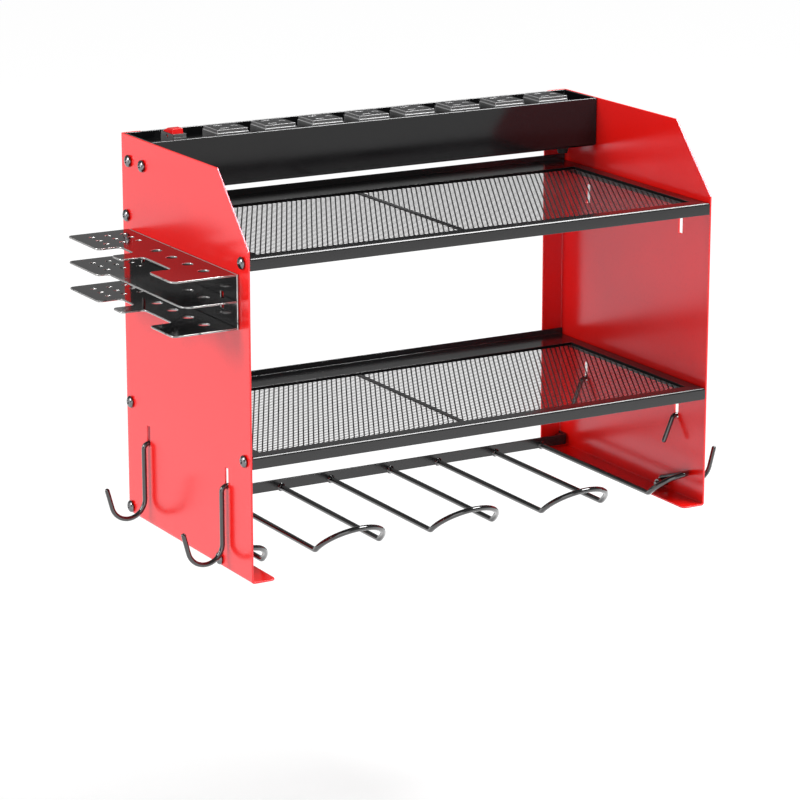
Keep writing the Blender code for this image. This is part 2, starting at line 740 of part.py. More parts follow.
def outlet_mesh():
    """One outlet block about its own centre, with its strip-top level at z = 0."""
    across, along = OUTLET_WIDTH / 2, OUTLET_DEPTH / 2
    bm = bmesh.new()
    add_box(bm, (-across, -along, -OUTLET_SINK), (across, along, OUTLET_LOWER_RISE))
    top = [face for face in bm.faces if face.normal.z > 1 - TINY]
    bmesh.ops.inset_region(bm, faces=top, thickness=OUTLET_STEP)
    raised = bmesh.ops.extrude_face_region(bm, geom=top)
    verts = [item for item in raised["geom"] if isinstance(item, bmesh.types.BMVert)]
    bmesh.ops.translate(bm, vec=(0, 0, OUTLET_UPPER_RISE), verts=verts)
    bmesh.ops.delete(bm, geom=top, context="FACES_ONLY")
    upper = OUTLET_LOWER_RISE + OUTLET_UPPER_RISE
    rims = [{2: upper}, {2: OUTLET_LOWER_RISE, 0: -across}, {2: OUTLET_LOWER_RISE, 0: across}]
    rims += [{2: OUTLET_LOWER_RISE, 1: -along}, {2: OUTLET_LOWER_RISE, 1: along}]
    rims += [{0: x, 1: y} for x in (-across, across) for y in (-along, along)]
    round_edges(bm, rims, OUTLET_EDGE, 1)
    block = mesh_part("outlet_block_form", bm, None)
    deep = upper - CONTACT_DEPTH
    slots = [
        (
            (BLADE_SHIFT - BLADE_LENGTH / 2, y - BLADE_WIDTH / 2, deep),
            (BLADE_SHIFT + BLADE_LENGTH / 2, y + BLADE_WIDTH / 2, upper + OVERRUN),
        )
        for y in (-BLADE_SPACING / 2, BLADE_SPACING / 2)
    ]
    cut_boxes(block, "blade_slots", slots)
    cut_rods(block, "earth_hole", [((EARTH_SHIFT, 0, deep), (EARTH_SHIFT, 0, upper + OVERRUN), EARTH_RADIUS)])
    bpy.context.view_layer.update()
    mesh = evaluated_mesh(block)
    for name in ("outlet_block_form", "blade_slots", "earth_hole"):
        bpy.data.objects.remove(bpy.data.objects[name])
    return mesh


def outlet_blocks():
    mesh = outlet_mesh()
    top = strip_levels()[2]
    for number, x in enumerate(outlet_places(), 1):
        copy_mesh("outlet_block_%d" % number, mesh, BLACK_PLASTIC, (x, OUTLET_Y, top))


def copy_mesh(name, mesh, finish, location, rotation=(0, 0, 0)):
    """Another object with the same mesh and a material of its own."""
    if not mesh.materials:
        mesh.materials.append(None)
    return add_object(name, mesh, finish, location, rotation)


def bus_bars():
    """Contact strips along under the outlets: one under each row of slots and one under the earth holes."""
    top = strip_levels()[2] - OUTLET_SINK - GAP
    places = outlet_places()
    start, end = places[0] - OUTLET_WIDTH / 2, places[-1] + OUTLET_WIDTH / 2
    rows = {"line": -BLADE_SPACING / 2, "earth": 0, "neutral": BLADE_SPACING / 2}
    for row, shift in rows.items():
        y = OUTLET_Y + shift
        bm = bmesh.new()
        add_box(bm, (start, y - BAR_SHEET / 2, top - BAR_HEIGHT), (end, y + BAR_SHEET / 2, top))
        mesh_part(row + "_bus_bar", bm, BRASS)


def bezel_opening_half():
    """Half the width and half the length of the opening that the rocker tilts in."""
    return ROCKER_WIDTH / 2 + GAP, ROCKER_LENGTH / 2 + ROCKER_END_SLACK


def bezel_body_half():
    return [half + BEZEL_BODY_WALL for half in bezel_opening_half()]


def switch_axis():
    """The rocker's axis, which lies along X."""
    return (SWITCH_X, SWITCH_Y, strip_levels()[2] + GAP + BEZEL_RIM)


def switch_bezel():
    top = strip_levels()[2] + GAP
    half = BEZEL_HALF_WIDTH
    rim, tier = top + BEZEL_RIM, top + BEZEL_RIM + BEZEL_TIER
    middle = top + BEZEL_RIM / 2
    bm = bmesh.new()
    low = (SWITCH_X - half, SWITCH_Y - BEZEL_HALF_LENGTH, top)
    add_box(bm, low, (SWITCH_X + half, SWITCH_Y + BEZEL_HALF_LENGTH, rim))
    bezel = mesh_part("switch_bezel", bm, BLACK_PLASTIC)
    tiers = {
        "switch_bezel_tier": (half, BEZEL_UPPER_HALF_LENGTH, middle, tier),
        "switch_bezel_body": (*bezel_body_half(), top - BEZEL_BODY_DEPTH, middle),
    }
    for name, (across, along, low, high) in tiers.items():
        bm = bmesh.new()
        add_box(bm, (SWITCH_X - across, SWITCH_Y - along, low), (SWITCH_X + across, SWITCH_Y + along, high))
        boolean(bezel, mesh_part(name, bm, None), "UNION")
    across, along = bezel_opening_half()
    low = (SWITCH_X - across, SWITCH_Y - along, top - BEZEL_BODY_DEPTH - OVERRUN)
    high = (SWITCH_X + across, SWITCH_Y + along, tier + OVERRUN)
    cut_boxes(bezel, "switch_bezel_opening", [(low, high)])
    x, y, z = switch_axis()
    reach = half + OVERRUN
    pin_hole = ((x - reach, y, z), (x + reach, y, z), ROCKER_PIN_RADIUS + GAP)
    cut_rods(bezel, "switch_bezel_pin_hole", [pin_hole])
    return bezel


def rocker():
    """A see-saw with a low ridge across its middle, pressed down at its rear end."""
    half = ROCKER_LENGTH / 2
    ridge = ROCKER_END_RISE + half * math.tan(ROCKER_TILT)
    outline = [
        (-half, ROCKER_END_RISE),
        (-half, -ROCKER_END_DROP),
        (-ROCKER_KEEL_HALF, -ROCKER_KEEL),
        (ROCKER_KEEL_HALF, -ROCKER_KEEL),
        (half, -ROCKER_END_DROP),
        (half, ROCKER_END_RISE),
        (0, ridge),
    ]
    form = solid_flat_part("rocker_form", [outline], "YZ", 0, ROCKER_WIDTH, None)
    bm = bmesh.new()
    reach = ROCKER_WIDTH / 2 + ROCKER_PIN_REACH
    add_rod(bm, (-reach, 0, 0), (reach, 0, 0), ROCKER_PIN_RADIUS)
    pin = mesh_part("rocker_pin", bm, None)
    body = bmesh.new()
    body.from_mesh(form.data)
    body.transform(form.matrix_world)
    bpy.data.objects.remove(form)
    body_object = mesh_part("rocker_body", body, None)
    boolean(body_object, pin, "UNION")
    bpy.context.view_layer.update()
    mesh = evaluated_mesh(body_object)
    bpy.data.objects.remove(body_object)
    bpy.data.objects.remove(pin)
    return add_object("rocker_switch", mesh, RED_PLASTIC, switch_axis(), (-ROCKER_TILT, 0, 0))


def cord_inlet():
    """A grommet with a tapered tail that passes down through the strip's and the tray's floors."""
    floor = strip_levels()[0]
    seat = floor + STRIP_WALL + GAP
    tail = HEIGHT - TRAY_HEIGHT - INLET_TAIL
    profile = [
        (INLET_FLANGE_RADIUS, seat + INLET_FLANGE),
        (INLET_FLANGE_RADIUS, seat),
        (INLET_RADIUS, seat),
        (INLET_RADIUS, HEIGHT - TRAY_HEIGHT),
        (INLET_TAIL_RADIUS, tail),
        (INLET_BORE, tail),
        (INLET_BORE, seat + INLET_FLANGE),
    ]
    mesh = turned_mesh("cord_inlet", profile, closed=True)
    return add_object("cord_inlet", mesh, RUBBER, (INLET_X, strip_middle_y(), 0))


# Drill holder


def rear_bar_face():
    return REAR_BAR_Y - REAR_BAR_SHEET / 2


def rear_bar():
    """A flat bar between the panels whose ends are bent back to the wall and bolted to the panels."""
    end = INNER - GAP - REAR_BAR_SHEET / 2
    low = SHEET + BEND + GAP
    line = [(-end, BACK_Y, 0), (-end, REAR_BAR_Y, 0), (end, REAR_BAR_Y, 0), (end, BACK_Y, 0)]
    path = rounded_path(line, REAR_BAR_BEND)
    bm = bmesh.new()
    verts = [bm.verts.new((point.x, point.y, low)) for point in path]
    edges = [bm.edges.new(pair) for pair in zip(verts, verts[1:])]
    raised = bmesh.ops.extrude_edge_only(bm, edges=edges)["geom"]
    top = [item for item in raised if isinstance(item, bmesh.types.BMVert)]
    bmesh.ops.translate(bm, vec=(0, 0, REAR_BAR_HEIGHT), verts=top)
    bmesh.ops.recalc_face_normals(bm, faces=bm.faces)
    bar = mesh_part("drill_holder_rear_bar", bm, BLACK_PAINT)
    thickness = bar.modifiers.new("thickness", "SOLIDIFY")
    thickness.thickness = REAR_BAR_SHEET
    thickness.offset = 0
    thickness.use_even_offset = True
    places = [place for place in side_screw_places() if place[0] == "drill_holder_back"]
    reach = REAR_BAR_SHEET + OVERRUN
    rods = []
    for side in SIDES.values():
        for _, y, z, _ in places:
            start, stop = (side * (end - reach), y, z), (side * (end + reach), y, z)
            rods.append((start, stop, SCREW_RADIUS + GAP))
    cut_rods(bar, "drill_holder_rear_bar_holes", rods)
    return bar


def loop_leg(x, away):
    """A leg and its upward bend, from the rear bar forwards; away is the tilted forward direction."""
    start = Vector((x, rear_bar_face() - GAP, LOOP_LEG_Z))
    bend = Vector((x, LOOP_BEND_Y, LOOP_LEG_Z))
    return [start] + rounded_corner(start, bend, bend + away, LOOP_BEND_RADIUS)


def loop_slope():
    """The direction in which a loop's arch leans, forwards and up."""
    return Vector((0, -math.cos(LOOP_TILT), math.sin(LOOP_TILT)))


def arch_point(middle, angle):
    """A point on the arch: a half circle that starts where the bend ends."""
    straight = LOOP_BEND_RADIUS * math.tan(LOOP_TILT / 2)
    foot = Vector((middle, LOOP_BEND_Y, LOOP_LEG_Z)) + loop_slope() * straight
    side = Vector((-math.cos(angle), 0, 0))
    return foot + (side + loop_slope() * math.sin(angle)) * LOOP_HALF_WIDTH


def drill_loop(name, middle):
    slope = loop_slope()
    left = loop_leg(middle - LOOP_HALF_WIDTH, slope)
    right = loop_leg(middle + LOOP_HALF_WIDTH, slope)
    count = round(math.pi / ARC_STEP) + 2
    arch = [arch_point(middle, math.pi * i / count) for i in range(1, count)]
    return wire_part(name, left + arch + right[::-1], LOOP_WIRE, BLACK_WIRE)


def half_loop(name, side):
    """Half a loop beside a panel, whose arch turns back along the panel and hooks over the panel's screw."""
    slope = loop_slope()
    middle = HALF
    leg = loop_leg(middle - LOOP_HALF_WIDTH, slope)
    wall = INNER - GAP - LOOP_WIRE
    swing = math.pi / 2 * LOOP_END_TURN_SHARE
    rise = [arch_point(middle, swing * (i + 1) / LOOP_END_STEPS) for i in range(LOOP_END_STEPS)]
    apex = arch_point(middle, math.acos((middle - wall) / LOOP_HALF_WIDTH))
    eye_radius = SCREW_RADIUS + GAP + LOOP_WIRE
    eye = Vector((wall, BOTTOM_FRONT_SCREW_Y, BOTTOM_SCREW_Z))
    run = eye - apex
    aim = math.atan2(run.z, run.y) + math.asin(eye_radius / run.length)
    lowest = SHEET + BEND + GAP + LOOP_WIRE
    first, last = aim + math.pi / 2, math.asin((lowest - eye.z) / eye_radius)
    wrap = [Vector((wall, *point)) for point in arc_points((eye.y, eye.z), eye_radius, first, last)]
    turn = rounded_corner(rise[-1], apex, wrap[0], LOOP_END_RADIUS)
    points = [Vector((side * p.x, p.y, p.z)) for p in leg + rise + turn + wrap]
    return wire_part(name, points, LOOP_WIRE, BLACK_WIRE)


def drill_holder():
    rear_bar()
    for i in range(LOOP_COUNT):
        drill_loop("drill_loop_%d" % (i + 1), LOOP_PITCH * (i - (LOOP_COUNT - 1) / 2))
    for word, side in SIDES.items():
        half_loop("drill_half_loop_%s" % word, side)


# Hooks


def hook_points(side):
    """A hook's line about its pivot: tail behind the panel, through the slot, leg, round foot and tip."""
    level = LOWER_SLOT_Z + HOOK_SEAT + HOOK_WIRE
    tail_reach = HOOK_BEND * math.tan((math.pi / 2 - HOOK_TAIL_LEAN) / 2)
    inner = -SHEET / 2 - tail_reach
    leg = SHEET / 2 + HOOK_BEND
    tail = (inner - HOOK_TAIL * math.sin(HOOK_TAIL_LEAN), 0, -HOOK_TAIL * math.cos(HOOK_TAIL_LEAN))
    foot = HOOK_LEG_END_Z - level
    line = rounded_path([tail, (inner, 0, 0), (leg, 0, 0), (leg, 0, foot)], HOOK_BEND)
    arc = arc_points((leg + HOOK_ARC_RADIUS, foot), HOOK_ARC_RADIUS, math.pi, math.tau - HOOK_TIP_LEAN)
    line += [Vector((across, 0, up)) for across, up in arc[1:]]
    rise = HOOK_TIP_Z - level - line[-1].z
    line.append(line[-1] + Vector((rise * math.tan(HOOK_TIP_LEAN), 0, rise)))
    return [Vector((side * point.x, point.y, point.z)) for point in line]


def hooks():
    level = LOWER_SLOT_Z + HOOK_SEAT + HOOK_WIRE
    for word, side in SIDES.items():
        for place, y in (("front", SLOT_FRONT_Y), ("back", SLOT_BACK_Y)):
            pivot = (side * (HALF - SHEET / 2), y, level)
            wire_part("hook_%s_%s" % (word, place), hook_points(side), HOOK_WIRE, BLACK_WIRE, pivot)


# Side rack


def rack_plate_x():
    """The middle of the rack's back plate, which stands against the left panel."""
    return -HALF - GAP - RACK_SHEET / 2


def rack_back_plate():
    """The plate against the panel: two tabs folded out of its windows hang in the panel's upper slots."""
    bottom = RACK_BOTTOM_Z - RACK_SHEET
    outline = [
        (RACK_FRONT_Y, bottom),
        (RACK_BACK_Y, bottom),
        (RACK_BACK_Y, RACK_TOP_Z),
        (RACK_FRONT_Y, RACK_TOP_Z),
    ]
    loops = [outline]
    arm = UPPER_SLOT_Z + GAP
    half = SLOT_WIDTH / 2 - GAP
    for y in (SLOT_FRONT_Y, SLOT_BACK_Y):
        high = arm - GAP
        low = high - RACK_WINDOW_HEIGHT
        loops.append([(y - half, low), (y - half, high), (y + half, high), (y + half, low)])
    plate = solid_flat_part("side_rack_back_plate", loops, "YZ", rack_plate_x(), RACK_SHEET, BLACK_PAINT)
    behind = -INNER + GAP
    tab = [
        (rack_plate_x(), arm),
        (behind, arm),
        (behind, arm - RACK_TAB_DROP),
        (behind + RACK_TAB_SHEET, arm - RACK_TAB_DROP),
        (behind + RACK_TAB_SHEET, arm + RACK_TAB_SHEET),
        (rack_plate_x(), arm + RACK_TAB_SHEET),
    ]
    for word, y in (("front", SLOT_FRONT_Y), ("back", SLOT_BACK_Y)):
        cutter = solid_flat_part("rack_tab_" + word, [tab], "XZ", y, 2 * half, None)
        boolean(plate, cutter, "UNION")
    return plate


def rack_y(share):
    """A place along the rack, from its front edge."""
    return RACK_FRONT_Y + RACK_LENGTH * share


def rack_holes():
    """Round holes through a rack shelf: a row for screwdrivers and a block for drill bits."""
    shares = [DRIVER_FIRST_SHARE + DRIVER_PITCH_SHARE * i for i in range(DRIVER_COUNT)]
    drivers = [(-HALF - DRIVER_REACH, rack_y(share)) for share in shares]
    bits = [
        (-HALF - BIT_REACH - BIT_PITCH * column, rack_y(BIT_FIRST_SHARE + BIT_ROW_SHARE * row))
        for column in range(BIT_COLUMNS)
        for row in range(BIT_ROWS)
    ]
    loops = [circle_points(centre, DRIVER_RADIUS) for centre in drivers]
    return loops + [circle_points(centre, BIT_RADIUS, HOLE_SIDES // 2) for centre in bits]


def notch(middle_share, width_share):
    """The corners of an open notch in a rack shelf's outer edge, from front to back."""
    front, back = rack_y(middle_share - width_share / 2), rack_y(middle_share + width_share / 2)
    deep = RACK_OUTER_X + NOTCH_DEPTH
    return [
        (RACK_OUTER_X, front, NOTCH_CORNER),
        (deep, front, NOTCH_CORNER),
        (deep, back, NOTCH_CORNER),
        (RACK_OUTER_X, back, NOTCH_CORNER),
    ]


def rack_shelf(name, top, full_front):
    """A rack shelf; the middle one is narrower at the front, where long handles pass in front of it."""
    near = rack_plate_x() - RACK_SHEET / 2 - GAP
    corners = [(near, RACK_FRONT_Y, 0)]
    if full_front:
        corners.append((RACK_OUTER_X, RACK_FRONT_Y, RACK_CORNER))
        corners += notch(FIRST_NOTCH_SHARE, FIRST_NOTCH_WIDTH_SHARE)
        corners += notch(SECOND_NOTCH_SHARE, SECOND_NOTCH_WIDTH_SHARE)
    else:
        inset = RACK_OUTER_X + RACK_MIDDLE_STEP
        step = rack_y(SECOND_NOTCH_SHARE + SECOND_NOTCH_WIDTH_SHARE / 2)
        corners.append((inset, RACK_FRONT_Y, RACK_MIDDLE_CORNER))
        corners += [(inset, step, NOTCH_CORNER), (RACK_OUTER_X, step, NOTCH_CORNER)]
    corners += [(RACK_OUTER_X, RACK_BACK_Y, RACK_CORNER), (near, RACK_BACK_Y, 0)]
    loops = [rounded_outline(corners)] + rack_holes()
    return flat_part(name, loops, "XY", top - RACK_SHEET / 2, RACK_SHEET, BLACK_PAINT)


def side_rack():
    """The rack's four plates under one empty, which lifts them together."""
    lift = bpy.data.objects.new("side_rack_lift", None)
    lift.location = (rack_plate_x(), (RACK_FRONT_Y + RACK_BACK_Y) / 2, UPPER_SLOT_Z)
    PARTS.objects.link(lift)
    plates = [
        rack_back_plate(),
        rack_shelf("side_rack_top_shelf", RACK_TOP_Z, True),
        rack_shelf("side_rack_middle_shelf", RACK_MIDDLE_Z, False),
        rack_shelf("side_rack_bottom_shelf", RACK_BOTTOM_Z, True),
    ]
    bpy.context.view_layer.update()
    for plate in plates:
        plate.parent = lift
        plate.matrix_parent_inverse = lift.matrix_world.inverted()


# Fasteners


def screw_mesh(length):
    """A pan head screw about its own axis: the head stands on z = 0 and the shank points down."""
    dome = SCREW_HEAD_HEIGHT * SCREW_DOME_SHARE
    profile = [
        (0, SCREW_HEAD_HEIGHT - SOCKET_DEPTH),
        (SOCKET_RADIUS, SCREW_HEAD_HEIGHT - SOCKET_DEPTH),
        (SOCKET_RADIUS, SCREW_HEAD_HEIGHT),
        (SCREW_HEAD_RADIUS - dome, SCREW_HEAD_HEIGHT),
        (SCREW_HEAD_RADIUS, SCREW_HEAD_HEIGHT - dome),
        (SCREW_HEAD_RADIUS, 0),
        (SCREW_RADIUS, 0),
        (SCREW_RADIUS, -length),
        (0, -length),
    ]
    return turned_mesh("screw", profile)


def fasteners():
    meshes = {length: screw_mesh(length) for length in (SHORT_SCREW, LONG_SCREW)}
    for word, side in SIDES.items():
        for place, y, z, length in side_screw_places():
            name = "%s_screw_%s" % (place, word)
            location = (side * (HALF + GAP), y, z)
            copy_mesh(name, meshes[length], ZINC, location, (0, side * math.pi / 2, 0))


def nut(name, x, y, z):
    hexagon = circle_points((y, z), NUT_ACROSS_FLATS / math.sqrt(3), 6)
    bore = circle_points((y, z), SCREW_RADIUS + GAP)
    return flat_part(name, [hexagon, bore], "YZ", x, NUT_HEIGHT, ZINC)


def nuts():
    """Nuts on the screws that hold the drill holder: over the wire at the front, over the bar at the back."""
    clamped = {"drill_holder_front": 2 * LOOP_WIRE, "drill_holder_back": REAR_BAR_SHEET}
    for word, side in SIDES.items():
        for place, y, z, _ in side_screw_places():
            if place in clamped:
                x = INNER - GAP - clamped[place] - GAP - NUT_HEIGHT / 2
                nut("%s_nut_%s" % (place, word), side * x, y, z)


def build():
    chamfer = chamfer_cutter()
    for word, side in SIDES.items():
        side_panel("%s_side_panel" % word, side, chamfer)
    for word, top in (("top", TOP_SHELF_Z), ("middle", MIDDLE_SHELF_Z)):
        shelf_frame("%s_shelf_frame" % word, top)
        shelf_net("%s_shelf_net" % word, top)
        shelf_rib("%s_shelf_rib" % word, top)
    strip_tray()
    strip_base()
    strip_cover()
    outlet_blocks()
    bus_bars()
    switch_bezel()
    rocker()
    cord_inlet()
    drill_holder()
    hooks()
    side_rack()
    fasteners()
    nuts()


build()
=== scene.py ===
import math

import bmesh
import bpy
from mathutils import Matrix, Vector


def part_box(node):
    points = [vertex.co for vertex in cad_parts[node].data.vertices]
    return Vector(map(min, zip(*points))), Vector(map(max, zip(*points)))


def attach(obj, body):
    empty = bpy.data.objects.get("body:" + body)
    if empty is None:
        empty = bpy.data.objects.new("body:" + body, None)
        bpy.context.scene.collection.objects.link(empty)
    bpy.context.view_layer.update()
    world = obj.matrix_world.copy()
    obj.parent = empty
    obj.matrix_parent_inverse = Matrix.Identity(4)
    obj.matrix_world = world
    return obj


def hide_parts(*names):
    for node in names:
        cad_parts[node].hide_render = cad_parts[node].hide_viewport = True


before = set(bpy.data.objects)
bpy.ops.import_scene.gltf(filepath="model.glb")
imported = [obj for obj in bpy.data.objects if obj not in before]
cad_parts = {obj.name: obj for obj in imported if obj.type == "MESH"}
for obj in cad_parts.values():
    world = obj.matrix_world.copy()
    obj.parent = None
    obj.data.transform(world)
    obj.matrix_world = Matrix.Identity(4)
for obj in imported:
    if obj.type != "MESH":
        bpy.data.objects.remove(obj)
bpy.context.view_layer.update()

# Lengths are in metres, and the small pieces' sizes are the model's

# Camera
CAMERA_PLACE = (-1.326, -2.398, 0.805)
CAMERA_PITCH = math.radians(90 - 15.05)
CAMERA_TURN = math.radians(-29.81)
CAMERA_LENS = 147.2
CAMERA_SENSOR = 36

# Meshes
SHADING_ANGLE = math.radians(35)
MERGE_DISTANCE = 0.000002
FLAT_ANGLE = math.radians(0.5)
SHORTEST = 1e-6
ARC_STEP = math.radians(5)
TURN_STEPS = 32
EDGE_SLOT = 1

# Rounding of the edges: its width, its steps and the angle from which an edge counts as sharp
SHEET_ROUNDING = 0.00025
PANEL_ROUNDING = 0.0003
TRAY_ROUNDING = 0.00045
RACK_ROUNDING = 0.0005
MOULDED_ROUNDING = 0.0003
ROCKER_ROUNDING = 0.0004
FEW_STEPS = 2
MORE_STEPS = 3
EDGE_ANGLE = math.radians(40)

# Folded sheet
HALF = 0.215
SHEET = 0.0015
GAP = 0.0003
INNER = HALF - SHEET
STEEPEST_UPRIGHT = 0.2

# Wires: a wire ends in a dome or in a weld, given by its rings' places and widths in radii
DOME_RINGS = 5
DOME_SPREAD = 5.2
WIRE_SIDES = 20
WELD_START = 0.9
WELD_RINGS = ((0.45, 1.18), (0.15, 1.45), (0.0, 1.6))

LOOP_WIRE = 0.0023
LOOP_HALF_WIDTH = 0.0295
LOOP_LEG_Z = 0.005
LOOP_BEND_Y = -0.1858
LOOP_TILT = math.radians(40)
LOOP_BEND_RADIUS = 0.006
LOOP_END_RADIUS = 0.0045
LOOP_COUNT = 3
LOOP_PITCH = 0.1075
REAR_BAR_FACE_Y = -0.015
EYE_Y = -0.171
EYE_Z = 0.0065
EYE_LOWEST = 0.0026
ARCH_STEPS = 40
HALF_LOOP_SHARE = 0.62
HALF_LOOP_STEPS = 16

# Fasteners: heights from the head's underside; a screw's place along and up the panel, and its length
SCREW_RADIUS = 0.0025
SCREW_LENGTH = 0.008
LONG_SCREW_LENGTH = 0.013
THREAD_PITCH = 0.0008
THREAD_DEPTH = 0.0003
THREAD_CREST = 0.0002
THREAD_ROOT = 0.0006
SCREW_TIP_STEP = 0.0005
HEAD_RADIUS = 0.005
HEAD_HEIGHT = 0.0032
HEAD_RIM = 0.0009
HEAD_DOME = [math.radians(angle) for angle in range(20, 90, 10)]
HEAD_RECESS = ((0, 0.0016), (0.0012, 0.0015), (0.0016, 0.0003))
HEAD_FOOT = ((0, HEAD_RIM), (0.0001, 0.0003), (0.0005, 0.0))
SCREWS = {
    "top_shelf_front": (-0.216, 0.256, SCREW_LENGTH),
    "top_shelf_back": (-0.010, 0.256, SCREW_LENGTH),
    "middle_shelf_front": (-0.216, 0.098, SCREW_LENGTH),
    "middle_shelf_back": (-0.010, 0.098, SCREW_LENGTH),
    "tray_front": (-0.041, 0.302, SCREW_LENGTH),
    "tray_back": (-0.0156, 0.302, SCREW_LENGTH),
    "drill_holder_front": (EYE_Y, EYE_Z, LONG_SCREW_LENGTH),
    "drill_holder_back": (-0.0068, EYE_Z, SCREW_LENGTH),
}
NUT_HALF_WIDTH = 0.004
NUT_BORE_RADIUS = 0.0028
NUT_SIDES = 24
NUT_SECTIONS = ((-0.5, 0.93), (-0.38, 1), (0.38, 1), (0.5, 0.93))

# Hooks
HOOK_WIRE = 0.002
HOOK_LEVEL = 0.070
HOOK_BEND = 0.0045
HOOK_LEG_END_Z = 0.023
HOOK_ARC_RADIUS = 0.0152
HOOK_TIP_Z = 0.0365
HOOK_TIP_LEAN = math.radians(15)
HOOK_TAIL = 0.025
HOOK_TAIL_LEAN = math.radians(23)
HOOK_Y = {"front": -0.184, "back": -0.042}

# Outlets: heights from the strip's top
STRIP_TOP = 0.314
OUTLET_COUNT = 8
OUTLET_HALF_WIDTH = 0.0145
OUTLET_HALF_DEPTH = 0.0135
OUTLET_FOOT = -0.015
OUTLET_LOWER_TOP = 0.0092
OUTLET_RISE = 0.0028
OUTLET_STEP = 0.0008
OUTLET_ROUNDING = 0.00035
OUTLET_EDGE_ANGLE = math.radians(50)
OUTLET_FACE_SLOT = 2
LEVEL_ENOUGH = 0.99
OPENING_FLOOR = 0.002
OPENING_ABOVE = 0.014
BLADE_Y = 0.00635
BLADE_HALF_WIDTH = 0.0009
BLADE_START = -0.0076
BLADE_END = -0.0004
EARTH_X = 0.008
EARTH_RADIUS = 0.0025

# Nets
NET_SPACING = 0.00405
NET_ANGLE = math.radians(28)
NET_BAR = 0.0012
NET_THICK = 0.00035
NET_LAP = 0.00005
BAR_SIDES = 8
BAR_FULLNESS = 0.6

# Cord inlet
INLET_NECK_RADIUS = 0.0057
INLET_BORE_RADIUS = 0.0026
INLET_TAIL_RADIUS = 0.0044
INLET_FLANGE_RADIUS = 0.008
INLET_FLANGE_THICK = 0.0015
INLET_FLANGE_CORNER = (0.0006, 0.0004)
INLET_TAIL_CORNER = (0.0003, 0.0002)
INLET_NECK_END_Z = 0.2810
INLET_FIRST_GAP = 0.0004
INLET_RIBS = 4
INLET_RIB_PITCH = 0.002
INLET_RIB_DEPTH = 0.0007
INLET_RIB_LAND = 0.0011
INLET_GROOVE_START = 0.0013
INLET_GROOVE_END = 0.0018
INLET_TAPER = 0.009

# Surroundings: to the camera the floor's glow rises from the object outwards
FLOOR_Z = -0.30
FLOOR_REACH = 60
FLOOR_GREY = 0.8
FLOOR_SEEN_GREY = 0.35
FLOOR_GLOW = {"From Min": 0.6, "From Max": 2.2, "To Min": 0.66, "To Max": 0.90}
SURROUND = 0.22
LAMPS = (
    # name, place, target, width and height, radiance
    ("overhead", (0.85, -0.70, 1.6), (0.85, -0.70, 0), (0.8, 1.3), 22),
    ("left_box", (-1.8, 0.1, 1.0), (-0.2, -0.11, 0.12), (0.8, 0.8), 12.5),
    ("back_left", (-1.9, 0.9, 0.4), (0, -0.11, 0.16), (0.8, 0.8), 2.5),
    ("front_left", (-1.3, -2.0, 0.5), (0.1, -0.1, 0.12), (1.6, 1.4), 2.0),
)

# Colours
RED = (0.80, 0.006, 0.003)
BLACK = (0.010, 0.010, 0.011)
BARE_METAL = (0.35, 0.34, 0.33)
# A light metal grey laid over most of the rack's rims: a painted highlight
RIM_HIGHLIGHT_METAL = (0.62, 0.61, 0.60)

# The side panels, by their sign in X
SIDES = {"left": -1, "right": 1}


# Scene basics


def clear_defaults():
    for name in ("Cube", "Light", "Camera"):
        if name in bpy.data.objects:
            bpy.data.objects.remove(bpy.data.objects[name])


def link(obj):
    bpy.context.scene.collection.objects.link(obj)
    return obj


def make_camera():
    data = bpy.data.cameras.new("camera")
    data.sensor_width = CAMERA_SENSOR
    data.lens = CAMERA_LENS
    camera = link(bpy.data.objects.new("camera", data))
    camera.location = CAMERA_PLACE
    camera.rotation_euler = (CAMERA_PITCH, 0, CAMERA_TURN)
    bpy.context.scene.camera = camera


def area_light(name, place, target, size, radiance):
    """A soft box given by its radiance: its size doesn't change how bright it looks in a reflection."""
    data = bpy.data.lights.new(name, "AREA")
    data.shape = "RECTANGLE"
    data.size, data.size_y = size
    data.energy = radiance * math.pi * size[0] * size[1]
    light = link(bpy.data.objects.new(name, data))
    light.location = place
    light.rotation_euler = (Vector(target) - Vector(place)).to_track_quat("-Z", "Y").to_euler()


# Node helpers


